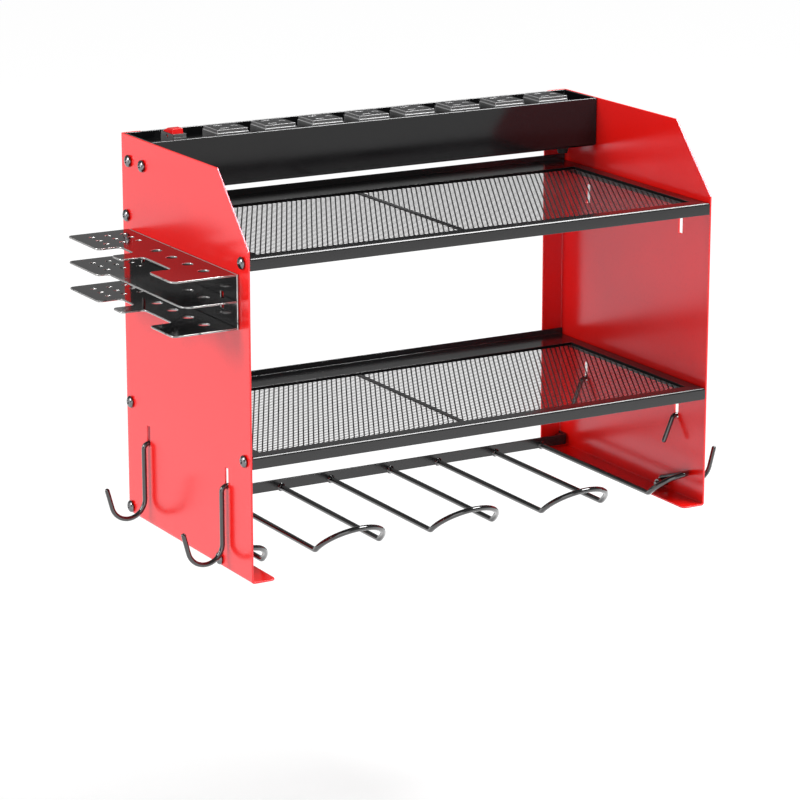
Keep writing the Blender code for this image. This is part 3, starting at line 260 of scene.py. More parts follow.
class Tree:
    """A material's nodes, with short calls to add and join them."""

    def __init__(self, name):
        self.material = bpy.data.materials.new(name)
        self.material.use_nodes = True
        self.nodes = self.material.node_tree.nodes
        self.links = self.material.node_tree.links
        self.shader = self.nodes["Principled BSDF"]
        self.place = self.nodes.new("ShaderNodeTexCoord").outputs["Object"]

    def join(self, source, target):
        self.links.new(source, target)

    def stretched(self, scale):
        """The place, scaled by axis."""
        mapping = self.nodes.new("ShaderNodeMapping")
        mapping.inputs["Scale"].default_value = scale
        self.join(self.place, mapping.inputs["Vector"])
        return mapping.outputs["Vector"]

    def noise(self, scale, detail=2.0, rough=0.5, vector=None):
        noise = self.nodes.new("ShaderNodeTexNoise")
        noise.inputs["Scale"].default_value = scale
        noise.inputs["Detail"].default_value = detail
        noise.inputs["Roughness"].default_value = rough
        self.join(vector or self.place, noise.inputs["Vector"])
        return noise.outputs["Fac"]

    def spread(self, source, low, high, start=0.3, end=0.7):
        """Maps a value from start..end to low..high."""
        node = self.nodes.new("ShaderNodeMapRange")
        node.clamp = True
        for name, value in (("From Min", start), ("From Max", end), ("To Min", low), ("To Max", high)):
            node.inputs[name].default_value = value
        self.join(source, node.inputs["Value"])
        return node.outputs["Result"]

    def mix(self, share, first, second):
        """Mixes two colours; each is a colour or a socket."""
        node = self.nodes.new("ShaderNodeMix")
        node.data_type = "RGBA"
        self.join(share, node.inputs[0])
        for socket, value in ((node.inputs[6], first), (node.inputs[7], second)):
            if isinstance(value, bpy.types.NodeSocket):
                self.join(value, socket)
            else:
                socket.default_value = (*value, 1)
        return node.outputs[2]

    def math(self, operation, first, second):
        node = self.nodes.new("ShaderNodeMath")
        node.operation = operation
        for socket, value in ((node.inputs[0], first), (node.inputs[1], second)):
            if isinstance(value, bpy.types.NodeSocket):
                self.join(value, socket)
            else:
                socket.default_value = value
        return node.outputs[0]

    def bump(self, height, strength, distance, normal=None):
        node = self.nodes.new("ShaderNodeBump")
        node.inputs["Strength"].default_value = strength
        node.inputs["Distance"].default_value = distance
        self.join(height, node.inputs["Height"])
        if normal is not None:
            self.join(normal, node.inputs["Normal"])
        return node.outputs["Normal"]

    def set(self, **values):
        for name, value in values.items():
            self.shader.inputs[name.replace("_", " ")].default_value = value


def tint(colour, factor):
    return tuple(min(1, channel * factor) for channel in colour)


def paint(name, colour, rough, ior=1.5, gleam=(1, 1, 1), coat=0.0, coat_rough=0.1, peel=0.25,
          chip_and_highlight_colour=None, chip_and_highlight_share=0.0):
    """Sprayed and baked paint: slow drifts of colour, fine orange peel, rubbed patches, faint scratches."""
    tree = Tree(name)
    drift = tree.spread(tree.noise(6, detail=3), 0, 1)
    base = tree.mix(drift, tint(colour, 0.93), tint(colour, 1.06))
    speck = tree.spread(tree.noise(420), 0, 0.35, start=0.55, end=0.8)
    base = tree.mix(speck, base, tint(colour, 0.80))
    # Metal flecks: a small share makes wear chips, a large share covers most of a rim as a painted
    # highlight
    if chip_and_highlight_colour is not None:
        flecks = tree.noise(210, detail=4, rough=0.65)
        chip_and_highlight_mask = tree.spread(flecks, 0, 1, start=0.72 - chip_and_highlight_share, end=0.76 - chip_and_highlight_share)
        base = tree.mix(chip_and_highlight_mask, base, chip_and_highlight_colour)
        tree.join(tree.math("MULTIPLY", chip_and_highlight_mask, 0.7), tree.shader.inputs["Metallic"])
    tree.join(base, tree.shader.inputs["Base Color"])
    haze = tree.noise(9, detail=4, rough=0.6)
    scratch = tree.noise(60, detail=3, rough=0.7, vector=tree.stretched((1, 14, 14)))
    patches = tree.math("ADD", haze, tree.math("MULTIPLY", scratch, 0.35))
    tree.join(tree.spread(patches, *rough, start=0.45, end=0.9), tree.shader.inputs["Roughness"])
    skin = tree.bump(tree.noise(900, rough=0.45), strength=peel, distance=0.00006)
    ripple = tree.noise(38, detail=1)
    normal = tree.bump(ripple, strength=peel * 0.5, distance=0.0004, normal=skin)
    tree.join(normal, tree.shader.inputs["Normal"])
    tree.set(IOR=ior, Specular_Tint=(*gleam, 1), Coat_Weight=coat, Coat_Roughness=coat_rough)
    return tree.material


def plastic(name, colour, rough, grain=0.35, scale=2200, ribs=None):
    """Moulded plastic: an even fine grain, slight mould flow and, where asked, diagonal ribs."""
    tree = Tree(name)
    flow = tree.spread(tree.noise(14, detail=3, rough=0.6), 0, 1)
    base = tree.mix(flow, tint(colour, 0.88), tint(colour, 1.10))
    tree.join(base, tree.shader.inputs["Base Color"])
    tree.join(tree.spread(tree.noise(55, detail=3), *rough), tree.shader.inputs["Roughness"])
    normal = tree.bump(tree.noise(scale, rough=0.6), strength=grain, distance=0.00008)
    if ribs:
        wave = tree.nodes.new("ShaderNodeTexWave")
        wave.bands_direction = "DIAGONAL"
        wave.inputs["Scale"].default_value = ribs
        wave.inputs["Distortion"].default_value = 0.4
        tree.join(tree.place, wave.inputs["Vector"])
        normal = tree.bump(wave.outputs["Fac"], strength=0.5, distance=0.00025, normal=normal)
    tree.join(normal, tree.shader.inputs["Normal"])
    return tree.material


def metal(name, colour, rough, scale=90):
    """Plated or bare metal with fine marks."""
    tree = Tree(name)
    marks = tree.noise(scale, detail=4, rough=0.6)
    base = tree.mix(tree.spread(marks, 0, 1), tint(colour, 0.8), tint(colour, 1.15))
    tree.join(base, tree.shader.inputs["Base Color"])
    tree.join(tree.spread(tree.noise(260, detail=3), *rough), tree.shader.inputs["Roughness"])
    tree.join(tree.bump(marks, strength=0.2, distance=0.00005), tree.shader.inputs["Normal"])
    tree.set(Metallic=1.0)
    return tree.material


def make_materials():
    return {
        "red": paint("red_paint", RED, (0.18, 0.25), ior=1.72, gleam=(0.78, 0.82, 1.0), peel=0.16),
        # The edge finishes go on the rounded edges: lighter tints of their faces' colours, a painted
        # highlight along the edges, with a few wear chips
        "red_edge": paint("red_paint_edge_highlight", tint(RED, 1.1), (0.2, 0.3), ior=1.6,
                          chip_and_highlight_colour=BARE_METAL, chip_and_highlight_share=0.02),
        "shelf": paint("shelf_black", tint(BLACK, 0.7), (0.18, 0.26), coat=0.2, peel=0.16),
        "shelf_edge": paint("shelf_black_edge_highlight", tint(BLACK, 1.6), (0.12, 0.2), coat=1.0,
                            chip_and_highlight_colour=BARE_METAL, chip_and_highlight_share=0.02),
        # A darker, duller black for the upright faces round the nets: painted shade
        "shelf_opening_shade": paint("shelf_black_painted_shade", tint(BLACK, 0.3), (0.6, 0.75), ior=1.15, peel=0.3),
        "net": paint("net_black", tint(BLACK, 0.8), (0.3, 0.45), peel=0.1),
        "tray": paint("tray_black", tint(BLACK, 0.4), (0.08, 0.14), ior=1.42, peel=0.1),
        "tray_edge": paint("tray_black_edge_highlight", tint(BLACK, 2.0), (0.16, 0.26), coat=1.0,
                           chip_and_highlight_colour=BARE_METAL, chip_and_highlight_share=0.02),
        "wire": paint("wire_black", tint(BLACK, 0.6), (0.06, 0.1), ior=1.6, coat=1.0, coat_rough=0.03,
                      peel=0.08),
        "rack": paint("rack_black", tint(BLACK, 0.7), (0.1, 0.16), ior=1.55, coat=0.5, coat_rough=0.06),
        # The rack's rims are mostly light metal grey: a painted highlight along them
        "rack_edge": paint("rack_rim_painted_highlight", tint(BLACK, 1.6), (0.12, 0.2), coat=0.9,
                           chip_and_highlight_colour=RIM_HIGHLIGHT_METAL, chip_and_highlight_share=0.36),
        "strip": plastic("strip_plastic", BLACK, (0.36, 0.46)),
        # Outlet plastic: the sides a lighter grey than the dark face plastic on the tops, a painted
        # reflection; the rounded edges a light grey, a painted highlight
        "outlet": plastic("outlet_plastic", (0.09, 0.09, 0.091), (0.3, 0.42), ribs=420),
        "outlet_edge_highlight": plastic("outlet_edge_painted_highlight", (0.30, 0.30, 0.302), (0.16, 0.24), grain=0.1),
        "outlet_face": plastic("outlet_face_plastic", (0.014, 0.014, 0.015), (0.22, 0.32)),
        "rocker": plastic("rocker_plastic", (0.70, 0.008, 0.008), (0.16, 0.26), grain=0.12),
        "rubber": plastic("inlet_rubber", (0.012, 0.012, 0.012), (0.55, 0.7), grain=0.3, scale=1400),
        "brass": metal("brass", (0.72, 0.47, 0.18), (0.22, 0.36)),
        "screw": metal("screw_metal", (0.20, 0.20, 0.205), (0.14, 0.22), scale=300),
    }


# Mesh helpers


def mesh_object(name, bm, material, body, nodes):
    """Makes a piece from a bmesh."""
    mesh = bpy.data.meshes.new(name)
    bm.to_mesh(mesh)
    bm.free()
    mesh.materials.append(material)
    mesh.shade_smooth()
    mesh.set_sharp_from_angle(angle=SHADING_ANGLE)
    as_piece(link(bpy.data.objects.new(name, mesh)), body, nodes)


def as_piece(obj, body, nodes):
    """Lets an object ride on a body and stand for CAD nodes."""
    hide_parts(*nodes)
    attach(obj, body)
    return obj


def settled(obj):
    """Applies an object's modifiers to its mesh."""
    graph = bpy.context.evaluated_depsgraph_get()
    mesh = bpy.data.meshes.new_from_object(obj.evaluated_get(graph))
    obj.modifiers.clear()
    obj.data = mesh


def bevelled(obj, width, segments, angle=EDGE_ANGLE):
    """Rounds an object's sharp edges, evens its shading and applies both."""
    bevel = obj.modifiers.new("edges", "BEVEL")
    bevel.width = width
    bevel.segments = segments
    bevel.limit_method = "ANGLE"
    bevel.angle_limit = angle
    bevel.use_clamp_overlap = False
    bevel.miter_outer = "MITER_ARC"
    bevel.material = EDGE_SLOT
    obj.modifiers.new("shading", "WEIGHTED_NORMAL").keep_sharp = False
    settled(obj)


def dressed(node, body, slot, face, edge, width=SHEET_ROUNDING, segments=FEW_STEPS):
    """A copy of a CAD node with rounded edges, which stands for it."""
    bm = bmesh.new()
    bm.from_mesh(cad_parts[node].data)
    bmesh.ops.remove_doubles(bm, verts=bm.verts, dist=MERGE_DISTANCE)
    bmesh.ops.dissolve_limit(bm, angle_limit=FLAT_ANGLE, verts=bm.verts, edges=bm.edges)
    wide = [polygon for polygon in bm.faces if len(polygon.verts) > 4]
    bmesh.ops.triangulate(bm, faces=wide, quad_method="BEAUTY", ngon_method="BEAUTY")
    mesh = bpy.data.meshes.new(node + "_finished")
    bm.to_mesh(mesh)
    bm.free()
    if "custom_normal" in mesh.attributes:
        mesh.attributes.remove(mesh.attributes["custom_normal"])
    mesh.materials.clear()
    for material in (face, edge):
        mesh.materials.append(material)
    mesh.polygons.foreach_set("material_index", [0] * len(mesh.polygons))
    mesh.shade_smooth()
    obj = link(bpy.data.objects.new(node + "_finished", mesh))
    bevelled(obj, width, segments)
    return as_piece(obj, body, [node])


def arc_points(centre, radius, start, end):
    count = max(2, math.ceil(abs(end - start) / ARC_STEP))
    angles = [start + (end - start) * i / count for i in range(count + 1)]
    return [(centre[0] + radius * math.cos(a), centre[1] + radius * math.sin(a)) for a in angles]


def rounded_corner(before, corner, after, radius):
    before, corner, after = Vector(before), Vector(corner), Vector(after)
    into = (corner - before).normalized()
    out = (after - corner).normalized()
    turn = into.angle(out)
    if turn < SHORTEST:
        return [corner]
    start = corner - into * radius * math.tan(turn / 2)
    axis = into.cross(out).normalized()
    centre = start + axis.cross(into) * radius
    count = max(2, math.ceil(turn / ARC_STEP))
    turns = [Matrix.Rotation(turn * i / count, 3, axis) for i in range(count + 1)]
    return [centre + rotation @ (start - centre) for rotation in turns]


def rounded_path(points, radius):
    path = [Vector(points[0])]
    for before, corner, after in zip(points, points[1:], points[2:]):
        path += rounded_corner(before, corner, after, radius)
    return path + [Vector(points[-1])]


def end_rings(ring, inward, radius, kind):
    """Draws a wire's last ring in, and gives the rings from there to the tip."""
    tip, tangent = ring[0].copy(), ring[1]
    if kind == "dome":
        ring[0] = tip + inward * radius
        angles = [math.pi / 2 * step / DOME_SPREAD for step in range(1, DOME_RINGS + 1)]
        shape = [(1 - math.sin(a), math.cos(a)) for a in angles]
    else:
        ring[0] = tip + inward * radius * WELD_START
        shape = WELD_RINGS
    return [[tip + inward * radius * share, tangent, radius * wide] for share, wide in shape]


def tube(bm, path, radius, start="dome", end="dome"):
    """Sweeps a round wire along a path. An end is a dome, or flat with a small weld round it."""
    points = [Vector(p) for p in path]
    points = [points[0]] + [b for a, b in zip(points, points[1:]) if (b - a).length > SHORTEST]
    rings = []
    for i, point in enumerate(points):
        before = points[max(i - 1, 0)]
        after = points[min(i + 1, len(points) - 1)]
        rings.append([point, (after - before).normalized(), radius])
    starting = end_rings(rings[0], rings[0][1], radius, start)
    ending = end_rings(rings[-1], -rings[-1][1], radius, end)
    rings = starting[::-1] + rings + ending
    side = rings[0][1].orthogonal().normalized()
    loops = []
    last = rings[0][1]
    for centre, tangent, size in rings:
        side = last.rotation_difference(tangent) @ side
        last = tangent
        other = tangent.cross(side).normalized()
        loop = []
        for k in range(WIRE_SIDES):
            angle = math.tau * k / WIRE_SIDES
            loop.append(bm.verts.new(centre + (side * math.cos(angle) + other * math.sin(angle)) * size))
        loops.append(loop)
    join_loops(bm, loops)
    bm.faces.new(loops[0][::-1])
    bm.faces.new(loops[-1])


def join_loops(bm, loops):
    """Joins rings of equally many points, each to the next."""
    for first, second in zip(loops, loops[1:]):
        for k in range(len(first)):
            after = (k + 1) % len(first)
            bm.faces.new((first[k], first[after], second[after], second[k]))


def turned(bm, profile, matrix):
    """Turns a profile of radius and height about Z, then places it. Radius 0 closes it."""
    loops = []
    for radius, height in profile:
        angles = [math.tau * k / TURN_STEPS for k in range(TURN_STEPS if radius else 1)]
        points = [(radius * math.cos(a), radius * math.sin(a), height) for a in angles]
        loops.append([bm.verts.new(point) for point in points])
    for first, second in zip(loops, loops[1:]):
        for k in range(TURN_STEPS):
            places = ((first, k), (first, k + 1), (second, k + 1), (second, k))
            corners = [loop[place % len(loop)] for loop, place in places]
            corners = [v for n, v in enumerate(corners) if v not in corners[:n]]
            if len(corners) > 2:
                bm.faces.new(corners)
    bmesh.ops.transform(bm, matrix=matrix, verts=[v for loop in loops for v in loop])


def add_box(bm, low, high):
    low, high = Vector(low), Vector(high)
    matrix = Matrix.Translation((low + high) / 2) @ Matrix.Diagonal((*(high - low), 1))
    bmesh.ops.create_cube(bm, size=1, matrix=matrix)


# Sheet parts


def shade_round_net(piece, net, material):
    """Gives the upright faces round a net a darker, duller black: painted shade in the gap round the net.
    """
    low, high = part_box(net)
    mesh = piece.data
    mesh.materials.append(material)
    for polygon in mesh.polygons:
        middle = polygon.center
        inside = low.x < middle.x < high.x and low.y < middle.y < high.y
        if inside and abs(polygon.normal.z) < STEEPEST_UPRIGHT:
            polygon.material_index = len(mesh.materials) - 1


def make_sheet_parts(m):
    # Each part's rounded edges take its edge finish, on the painted sheets a lighter tint: painted
    # highlight
    red, shelf, tray, rack = [(m[key], m[key + "_edge"]) for key in ("red", "shelf", "tray", "rack")]
    strip = (m["strip"], m["strip"])
    for word in SIDES:
        dressed("%s_side_panel" % word, "organizer", "red_paint", *red, PANEL_ROUNDING, MORE_STEPS)
    for word in ("top", "middle"):
        piece = dressed("%s_shelf_frame" % word, "organizer", "shelf_black", *shelf)
        shade_round_net(piece, "%s_shelf_net" % word, m["shelf_opening_shade"])
        dressed("%s_shelf_rib" % word, "organizer", "shelf_black", *shelf)
    dressed("power_strip_tray", "organizer", "tray_black", *tray, TRAY_ROUNDING, MORE_STEPS)
    dressed("power_strip_base", "organizer", "strip_plastic", *strip, MOULDED_ROUNDING)
    dressed("power_strip_cover", "organizer", "strip_plastic", *strip, MOULDED_ROUNDING)
    dressed("drill_holder_rear_bar", "organizer", "shelf_black", *shelf)
    for plate in ("back_plate", "top_shelf", "middle_shelf", "bottom_shelf"):
        dressed("side_rack_%s" % plate, "side_rack", "rack_black", *rack, RACK_ROUNDING, MORE_STEPS)


# Nets


def clipped(centre, direction, low, high):
    """The part of a level line that lies inside a box, or nothing."""
    reach = [-math.inf, math.inf]
    for axis in (0, 1):
        ends = sorted((bound[axis] - centre[axis]) / direction[axis] for bound in (low, high))
        reach = [max(reach[0], ends[0]), min(reach[1], ends[1])]
    return [centre + direction * along for along in reach] if reach[1] - reach[0] > NET_BAR else []


def flat_bar(bm, start, end, half_width, half_height):
    """A straight bar with rounded long edges."""
    across = (end - start).normalized().cross(Vector((0, 0, 1)))
    loops = []
    for point in (start, end):
        loop = []
        for k in range(BAR_SIDES):
            angle = math.tau * (k + 0.5) / BAR_SIDES
            wide = math.copysign(abs(math.cos(angle)) ** BAR_FULLNESS, math.cos(angle)) * half_width
            up = Vector((0, 0, half_height * math.sin(angle)))
            loop.append(bm.verts.new(point + across * wide + up))
        loops.append(loop)
    join_loops(bm, loops)
    bm.faces.new(loops[0][::-1])
    bm.faces.new(loops[1])


def make_net(name, node, m):
    """Expanded metal: two sets of flat strands that cross in diamonds, longest front to back."""
    low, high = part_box(node)
    level = (low.z + high.z) / 2
    bm = bmesh.new()
    step = NET_SPACING / math.cos(NET_ANGLE)
    reach = (high.x - low.x) / 2 + (high.y - low.y) * math.tan(NET_ANGLE)
    count = math.ceil(reach / step)
    for side, drop in ((1, 0), (-1, NET_LAP)):
        direction = Vector((side * math.sin(NET_ANGLE), math.cos(NET_ANGLE), 0))
        for i in range(-count, count + 1):
            centre = Vector((i * step, (low.y + high.y) / 2, level - drop))
            ends = clipped(centre, direction, low, high)
            if ends:
                flat_bar(bm, *ends, NET_BAR / 2, NET_THICK / 2)
    bmesh.ops.recalc_face_normals(bm, faces=bm.faces)
    mesh_object(name, bm, m["net"], "organizer", [node])


# Wires


def loop_slope():
    return Vector((0, -math.cos(LOOP_TILT), math.sin(LOOP_TILT)))


def loop_leg(x):
    start = Vector((x, REAR_BAR_FACE_Y - GAP, LOOP_LEG_Z))
    bend = Vector((x, LOOP_BEND_Y, LOOP_LEG_Z))
    return [start] + rounded_corner(start, bend, bend + loop_slope(), LOOP_BEND_RADIUS)


def arch_point(middle, angle):
    straight = LOOP_BEND_RADIUS * math.tan(LOOP_TILT / 2)
    foot = Vector((middle, LOOP_BEND_Y, LOOP_LEG_Z)) + loop_slope() * straight
    side = Vector((-math.cos(angle), 0, 0))
    return foot + (side + loop_slope() * math.sin(angle)) * LOOP_HALF_WIDTH


def half_loop_path():
    """The right-hand half loop: a leg, the start of an arch, and an eye round the screw at the panel."""
    wall = INNER - GAP - LOOP_WIRE
    swing = math.pi / 2 * HALF_LOOP_SHARE
    rise = [arch_point(HALF, swing * (k + 1) / HALF_LOOP_STEPS) for k in range(HALF_LOOP_STEPS)]
    apex = arch_point(HALF, math.acos((HALF - wall) / LOOP_HALF_WIDTH))
    eye_radius = SCREW_RADIUS + GAP + LOOP_WIRE
    eye = Vector((wall, EYE_Y, EYE_Z))
    run = eye - apex
    aim = math.atan2(run.z, run.y) + math.asin(eye_radius / run.length)
    lowest = EYE_LOWEST + LOOP_WIRE
    first, last = aim + math.pi / 2, math.asin((lowest - eye.z) / eye_radius)
    wrap = [Vector((wall, *point)) for point in arc_points((eye.y, eye.z), eye_radius, first, last)]
    turn = rounded_corner(rise[-1], apex, wrap[0], LOOP_END_RADIUS)
    return loop_leg(HALF - LOOP_HALF_WIDTH) + rise + turn + wrap


def make_loops(m):
    for i in range(LOOP_COUNT):
        middle = LOOP_PITCH * (i - 1)
        left, right = loop_leg(middle - LOOP_HALF_WIDTH), loop_leg(middle + LOOP_HALF_WIDTH)
        arch = [arch_point(middle, math.pi * k / ARCH_STEPS) for k in range(1, ARCH_STEPS)]
        bm = bmesh.new()
        tube(bm, left + arch + right[::-1], LOOP_WIRE, start="weld", end="weld")
        name = "drill_loop_%d" % (i + 1)
        mesh_object(name + "_wire", bm, m["wire"], "organizer", [name])
    path = half_loop_path()
    for word, side in SIDES.items():
        bm = bmesh.new()
        tube(bm, [Vector((side * p.x, p.y, p.z)) for p in path], LOOP_WIRE, start="weld", end="dome")
        name = "drill_half_loop_%s" % word
        mesh_object(name + "_wire", bm, m["wire"], "organizer", [name])


def make_hooks(m):
    for word, side in SIDES.items():
        for place, y in HOOK_Y.items():
            inner = -SHEET / 2 - HOOK_BEND * math.tan((math.pi / 2 - HOOK_TAIL_LEAN) / 2)
            leg = SHEET / 2 + HOOK_BEND
            tail = (inner - HOOK_TAIL * math.sin(HOOK_TAIL_LEAN), 0, -HOOK_TAIL * math.cos(HOOK_TAIL_LEAN))
            foot = HOOK_LEG_END_Z - HOOK_LEVEL
            line = rounded_path([tail, (inner, 0, 0), (leg, 0, 0), (leg, 0, foot)], HOOK_BEND)
            centre = (leg + HOOK_ARC_RADIUS, foot)
            arc = arc_points(centre, HOOK_ARC_RADIUS, math.pi, math.tau - HOOK_TIP_LEAN)
            line += [Vector((across, 0, up)) for across, up in arc[1:]]
            rise = HOOK_TIP_Z - HOOK_LEVEL - line[-1].z
            line.append(line[-1] + Vector((rise * math.tan(HOOK_TIP_LEAN), 0, rise)))
            pivot = Vector((side * (HALF - SHEET / 2), y, HOOK_LEVEL))
            bm = bmesh.new()
            tube(bm, [pivot + Vector((side * p.x, p.y, p.z)) for p in line], HOOK_WIRE)
            name = "hook_%s_%s" % (word, place)
            mesh_object(name + "_wire", bm, m["wire"], name, [name])


# Fasteners


def screw_profile(length):
    """A domed head with a rounded rim above the panel and a threaded shank below it."""
    rise = HEAD_HEIGHT - HEAD_RIM
    profile = [(radius, HEAD_HEIGHT - depth) for radius, depth in HEAD_RECESS]
    profile += [(HEAD_RADIUS * math.sin(a), HEAD_RIM + rise * math.cos(a)) for a in HEAD_DOME]
    profile += [(HEAD_RADIUS - inset, height) for inset, height in HEAD_FOOT]
    profile.append((SCREW_RADIUS, 0.0))
    for i in range(int(length / THREAD_PITCH)):
        start = -THREAD_PITCH * i
        profile.append((SCREW_RADIUS, start - THREAD_CREST))
        profile.append((SCREW_RADIUS - THREAD_DEPTH, start - THREAD_ROOT))
    return profile + [(SCREW_RADIUS - SCREW_TIP_STEP, -length), (0, -length)]


def make_screws(m):
    for word, side in SIDES.items():
        for place, (y, z, length) in SCREWS.items():
            turn = Matrix.Rotation(side * math.pi / 2, 4, "Y")
            matrix = Matrix.Translation((side * (HALF + GAP), y, z)) @ turn
            bm = bmesh.new()
            turned(bm, screw_profile(length), matrix)
            bmesh.ops.recalc_face_normals(bm, faces=bm.faces)
            name = "%s_screw_%s" % (place, word)
            mesh_object(name + "_head", bm, m["screw"], "organizer", [name])


def hex_loop(bm, x, reach):
    """A ring of points round X that keeps inside a hexagon and inside a circle."""
    loop = []
    for k in range(NUT_SIDES):
        angle = math.tau * k / NUT_SIDES
        sector = (angle + math.pi / 6) % (math.pi / 3) - math.pi / 6
        radius = min(NUT_HALF_WIDTH / math.cos(sector), reach)
        loop.append(bm.verts.new((x, radius * math.cos(angle), radius * math.sin(angle))))
    return loop


def bore_loop(bm, x):
    angles = [math.tau * k / NUT_SIDES for k in range(NUT_SIDES)]
    ring = [(x, NUT_BORE_RADIUS * math.cos(a), NUT_BORE_RADIUS * math.sin(a)) for a in angles]
    return [bm.verts.new(point) for point in ring]


def make_nuts(m):
    corner = NUT_HALF_WIDTH / math.cos(math.pi / 6)
    for word in SIDES:
        for place in ("front", "back"):
            name = "drill_holder_%s_nut_%s" % (place, word)
            low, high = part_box(name)
            centre, thick = (low + high) / 2, high.x - low.x
            bm = bmesh.new()
            loops = [hex_loop(bm, share * thick, corner * chamfer) for share, chamfer in NUT_SECTIONS]
            loops += [bore_loop(bm, share * thick) for share in (0.5, -0.5)]
            join_loops(bm, loops + loops[:1])
            bmesh.ops.recalc_face_normals(bm, faces=bm.faces)
            bmesh.ops.translate(bm, vec=centre, verts=bm.verts)
            mesh_object(name + "_hex", bm, m["screw"], "organizer", [name])


# Power strip details


def cut(obj, bm):
    """Takes a bmesh form out of a mesh object."""
    mesh = bpy.data.meshes.new("cutter")
    bm.to_mesh(mesh)
    bm.free()
    cutter = link(bpy.data.objects.new("cutter", mesh))
    modifier = obj.modifiers.new("cut", "BOOLEAN")
    modifier.object = cutter
    modifier.solver = "EXACT"
    settled(obj)
    bpy.data.objects.remove(cutter)


def outlet_form(m):
    """One outlet block about its own centre, with the strip's top at z = 0."""
    across, along = OUTLET_HALF_WIDTH, OUTLET_HALF_DEPTH
    bm = bmesh.new()
    add_box(bm, (-across, -along, OUTLET_FOOT), (across, along, OUTLET_LOWER_TOP))
    top = [face for face in bm.faces if face.normal.z > LEVEL_ENOUGH]
    bmesh.ops.inset_region(bm, faces=top, thickness=OUTLET_STEP)
    raised = bmesh.ops.extrude_face_region(bm, geom=top)
    verts = [item for item in raised["geom"] if isinstance(item, bmesh.types.BMVert)]
    bmesh.ops.translate(bm, vec=(0, 0, OUTLET_RISE), verts=verts)
    bmesh.ops.delete(bm, geom=top, context="FACES_ONLY")
    mesh = bpy.data.meshes.new("outlet_form")
    bm.to_mesh(mesh)
    bm.free()
    form = link(bpy.data.objects.new("outlet_form", mesh))
    for material in (m["outlet"], m["outlet_edge_highlight"], m["outlet_face"]):
        mesh.materials.append(material)
    holes = bmesh.new()
    for y in (-BLADE_Y, BLADE_Y):
        low = (BLADE_START, y - BLADE_HALF_WIDTH, OPENING_FLOOR)
        add_box(holes, low, (BLADE_END, y + BLADE_HALF_WIDTH, OPENING_ABOVE))
    cut(form, holes)
    earth = bmesh.new()
    above = [(radius, OPENING_ABOVE) for radius in (0, EARTH_RADIUS)]
    below = [(radius, OPENING_FLOOR) for radius in (EARTH_RADIUS, 0)]
    turned(earth, above + below, Matrix.Translation((EARTH_X, 0, 0)))
    bmesh.ops.recalc_face_normals(earth, faces=earth.faces)
    cut(form, earth)
    bevelled(form, OUTLET_ROUNDING, MORE_STEPS, OUTLET_EDGE_ANGLE)
    # The upward faces take the darker face plastic, so the lighter sides carry a painted reflection
    for polygon in form.data.polygons:
        if polygon.normal.z > LEVEL_ENOUGH:
            polygon.material_index = OUTLET_FACE_SLOT
    return form


def make_outlets(m):
    form = outlet_form(m)
    for i in range(OUTLET_COUNT):
        name = "outlet_block_%d" % (i + 1)
        low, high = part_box(name)
        place = ((low.x + high.x) / 2, (low.y + high.y) / 2, STRIP_TOP)
        block = link(bpy.data.objects.new(name + "_face", form.data.copy()))
        block.data.transform(Matrix.Translation(place))
        as_piece(block, "organizer", [name])
    bpy.data.objects.remove(form)


def make_switch(m):
    bezel = (m["outlet"], m["outlet_face"])
    dressed("switch_bezel", "organizer", "strip_plastic", *bezel, MOULDED_ROUNDING)
    rocker = (m["rocker"], m["rocker"])
    dressed("rocker_switch", "rocker", "rocker_red", *rocker, ROCKER_ROUNDING, MORE_STEPS)


def make_inlet(m):
    """The strain relief: a flange, a neck through the floors and a ribbed tail."""
    name = "cord_inlet"
    low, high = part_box(name)
    x, y = (low.x + high.x) / 2, (low.y + high.y) / 2
    outer, bore, tail = INLET_NECK_RADIUS, INLET_BORE_RADIUS, INLET_TAIL_RADIUS
    flange, under = INLET_FLANGE_RADIUS, high.z - INLET_FLANGE_THICK
    inward, down = INLET_FLANGE_CORNER
    profile = [(bore, high.z), (flange - inward, high.z), (flange, high.z - down), (flange, under),
               (outer, under), (outer, INLET_NECK_END_Z)]
    for i in range(INLET_RIBS):
        top = INLET_NECK_END_Z - INLET_FIRST_GAP - INLET_RIB_PITCH * i
        radius = outer + (tail - outer) * (INLET_NECK_END_Z - top) / INLET_TAPER
        groove = radius - INLET_RIB_DEPTH
        profile += [(radius, top), (radius, top - INLET_RIB_LAND)]
        profile += [(groove, top - INLET_GROOVE_START), (groove, top - INLET_GROOVE_END)]
    inward, up = INLET_TAIL_CORNER
    profile += [(tail, low.z + up), (tail - inward, low.z), (bore, low.z), (bore, high.z)]
    bm = bmesh.new()
    turned(bm, profile, Matrix.Translation((x, y, 0)))
    bmesh.ops.remove_doubles(bm, verts=bm.verts, dist=SHORTEST)
    bmesh.ops.recalc_face_normals(bm, faces=bm.faces)
    mesh_object(name + "_boot", bm, m["rubber"], "organizer", [name])


def finish_hidden(m):
    """CAD nodes that stay as they are get their finish."""
    for word in ("line", "earth", "neutral"):
        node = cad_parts[word + "_bus_bar"]
        node.data.materials.clear()
        node.data.materials.append(m["brass"])


# Surroundings


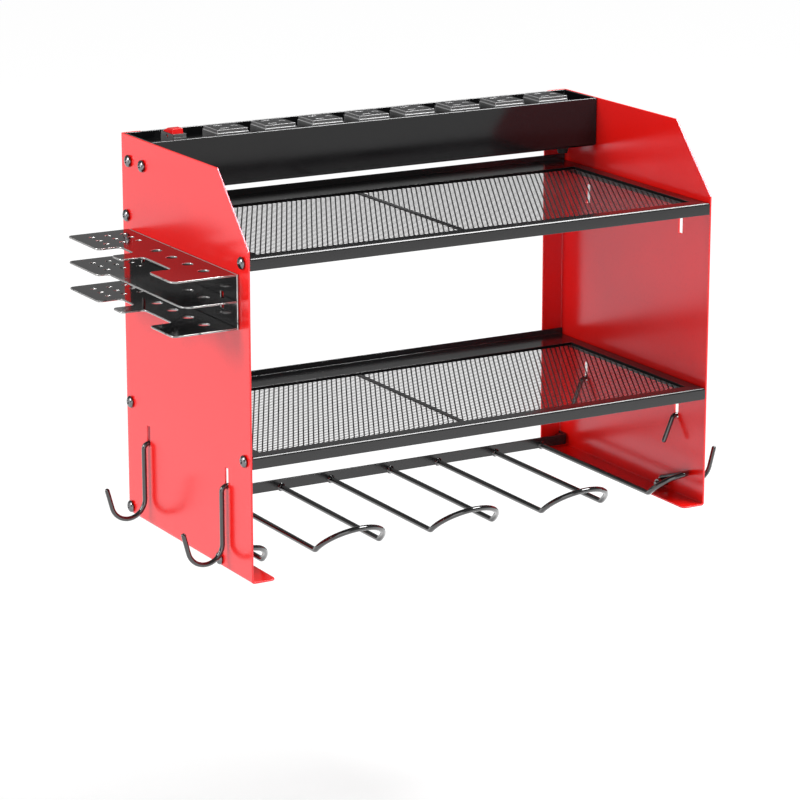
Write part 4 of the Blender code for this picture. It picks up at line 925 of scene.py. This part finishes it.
def make_floor():
    """A pale floor that fades to plain white away from the object and keeps the shadow near it."""
    bm = bmesh.new()
    corners = ((-1, -1), (1, -1), (1, 1), (-1, 1))
    bm.faces.new([bm.verts.new((x * FLOOR_REACH, y * FLOOR_REACH, FLOOR_Z)) for x, y in corners])
    mesh = bpy.data.meshes.new("floor")
    bm.to_mesh(mesh)
    bm.free()
    floor = link(bpy.data.objects.new("floor", mesh))
    material = bpy.data.materials.new("floor")
    material.use_nodes = True
    nodes, links = material.node_tree.nodes, material.node_tree.links
    nodes.clear()
    out = nodes.new("ShaderNodeOutputMaterial")
    diffuse = nodes.new("ShaderNodeBsdfDiffuse")
    diffuse.inputs["Color"].default_value = (FLOOR_GREY, FLOOR_GREY, FLOOR_GREY, 1)
    seen = nodes.new("ShaderNodeBsdfDiffuse")
    seen.inputs["Color"].default_value = (FLOOR_SEEN_GREY, FLOOR_SEEN_GREY, FLOOR_SEEN_GREY, 1)
    place = nodes.new("ShaderNodeTexCoord")
    away = nodes.new("ShaderNodeVectorMath")
    away.operation = "LENGTH"
    links.new(place.outputs["Object"], away.inputs[0])
    fade = nodes.new("ShaderNodeMapRange")
    for name, value in FLOOR_GLOW.items():
        fade.inputs[name].default_value = value
    links.new(away.outputs["Value"], fade.inputs["Value"])
    glow = nodes.new("ShaderNodeEmission")
    links.new(fade.outputs["Result"], glow.inputs["Strength"])
    total = nodes.new("ShaderNodeAddShader")
    links.new(seen.outputs[0], total.inputs[0])
    links.new(glow.outputs[0], total.inputs[1])
    choice = nodes.new("ShaderNodeMixShader")
    links.new(pale_share(nodes, links), choice.inputs[0])
    links.new(diffuse.outputs[0], choice.inputs[1])
    links.new(total.outputs[0], choice.inputs[2])
    links.new(choice.outputs[0], out.inputs["Surface"])
    mesh.materials.append(material)


def pale_share(nodes, links):
    """1 for the rays that show the pale background (camera, glossy, transmission), else 0."""
    path = nodes.new("ShaderNodeLightPath")
    share = path.outputs["Is Camera Ray"]
    for name in ("Is Glossy Ray", "Is Transmission Ray"):
        either = nodes.new("ShaderNodeMath")
        either.operation = "MAXIMUM"
        links.new(share, either.inputs[0])
        links.new(path.outputs[name], either.inputs[1])
        share = either.outputs[0]
    return share


def make_world():
    """A plain dim surround; the white round the object is the floor's."""
    world = bpy.data.worlds.new("studio")
    bpy.context.scene.world = world
    world.use_nodes = True
    surround = world.node_tree.nodes["Background"]
    surround.inputs["Color"].default_value = (1, 1, 1, 1)
    surround.inputs["Strength"].default_value = SURROUND


def make_lights():
    for lamp in LAMPS:
        area_light(*lamp)


clear_defaults()
make_camera()
MATERIALS = make_materials()
make_sheet_parts(MATERIALS)
make_net("top_shelf_wire_net", "top_shelf_net", MATERIALS)
make_net("middle_shelf_wire_net", "middle_shelf_net", MATERIALS)
make_loops(MATERIALS)
make_hooks(MATERIALS)
make_screws(MATERIALS)
make_nuts(MATERIALS)
make_outlets(MATERIALS)
make_switch(MATERIALS)
make_inlet(MATERIALS)
finish_hidden(MATERIALS)
make_floor()
make_world()
make_lights()
bpy.context.scene.view_settings.view_transform = "Standard"
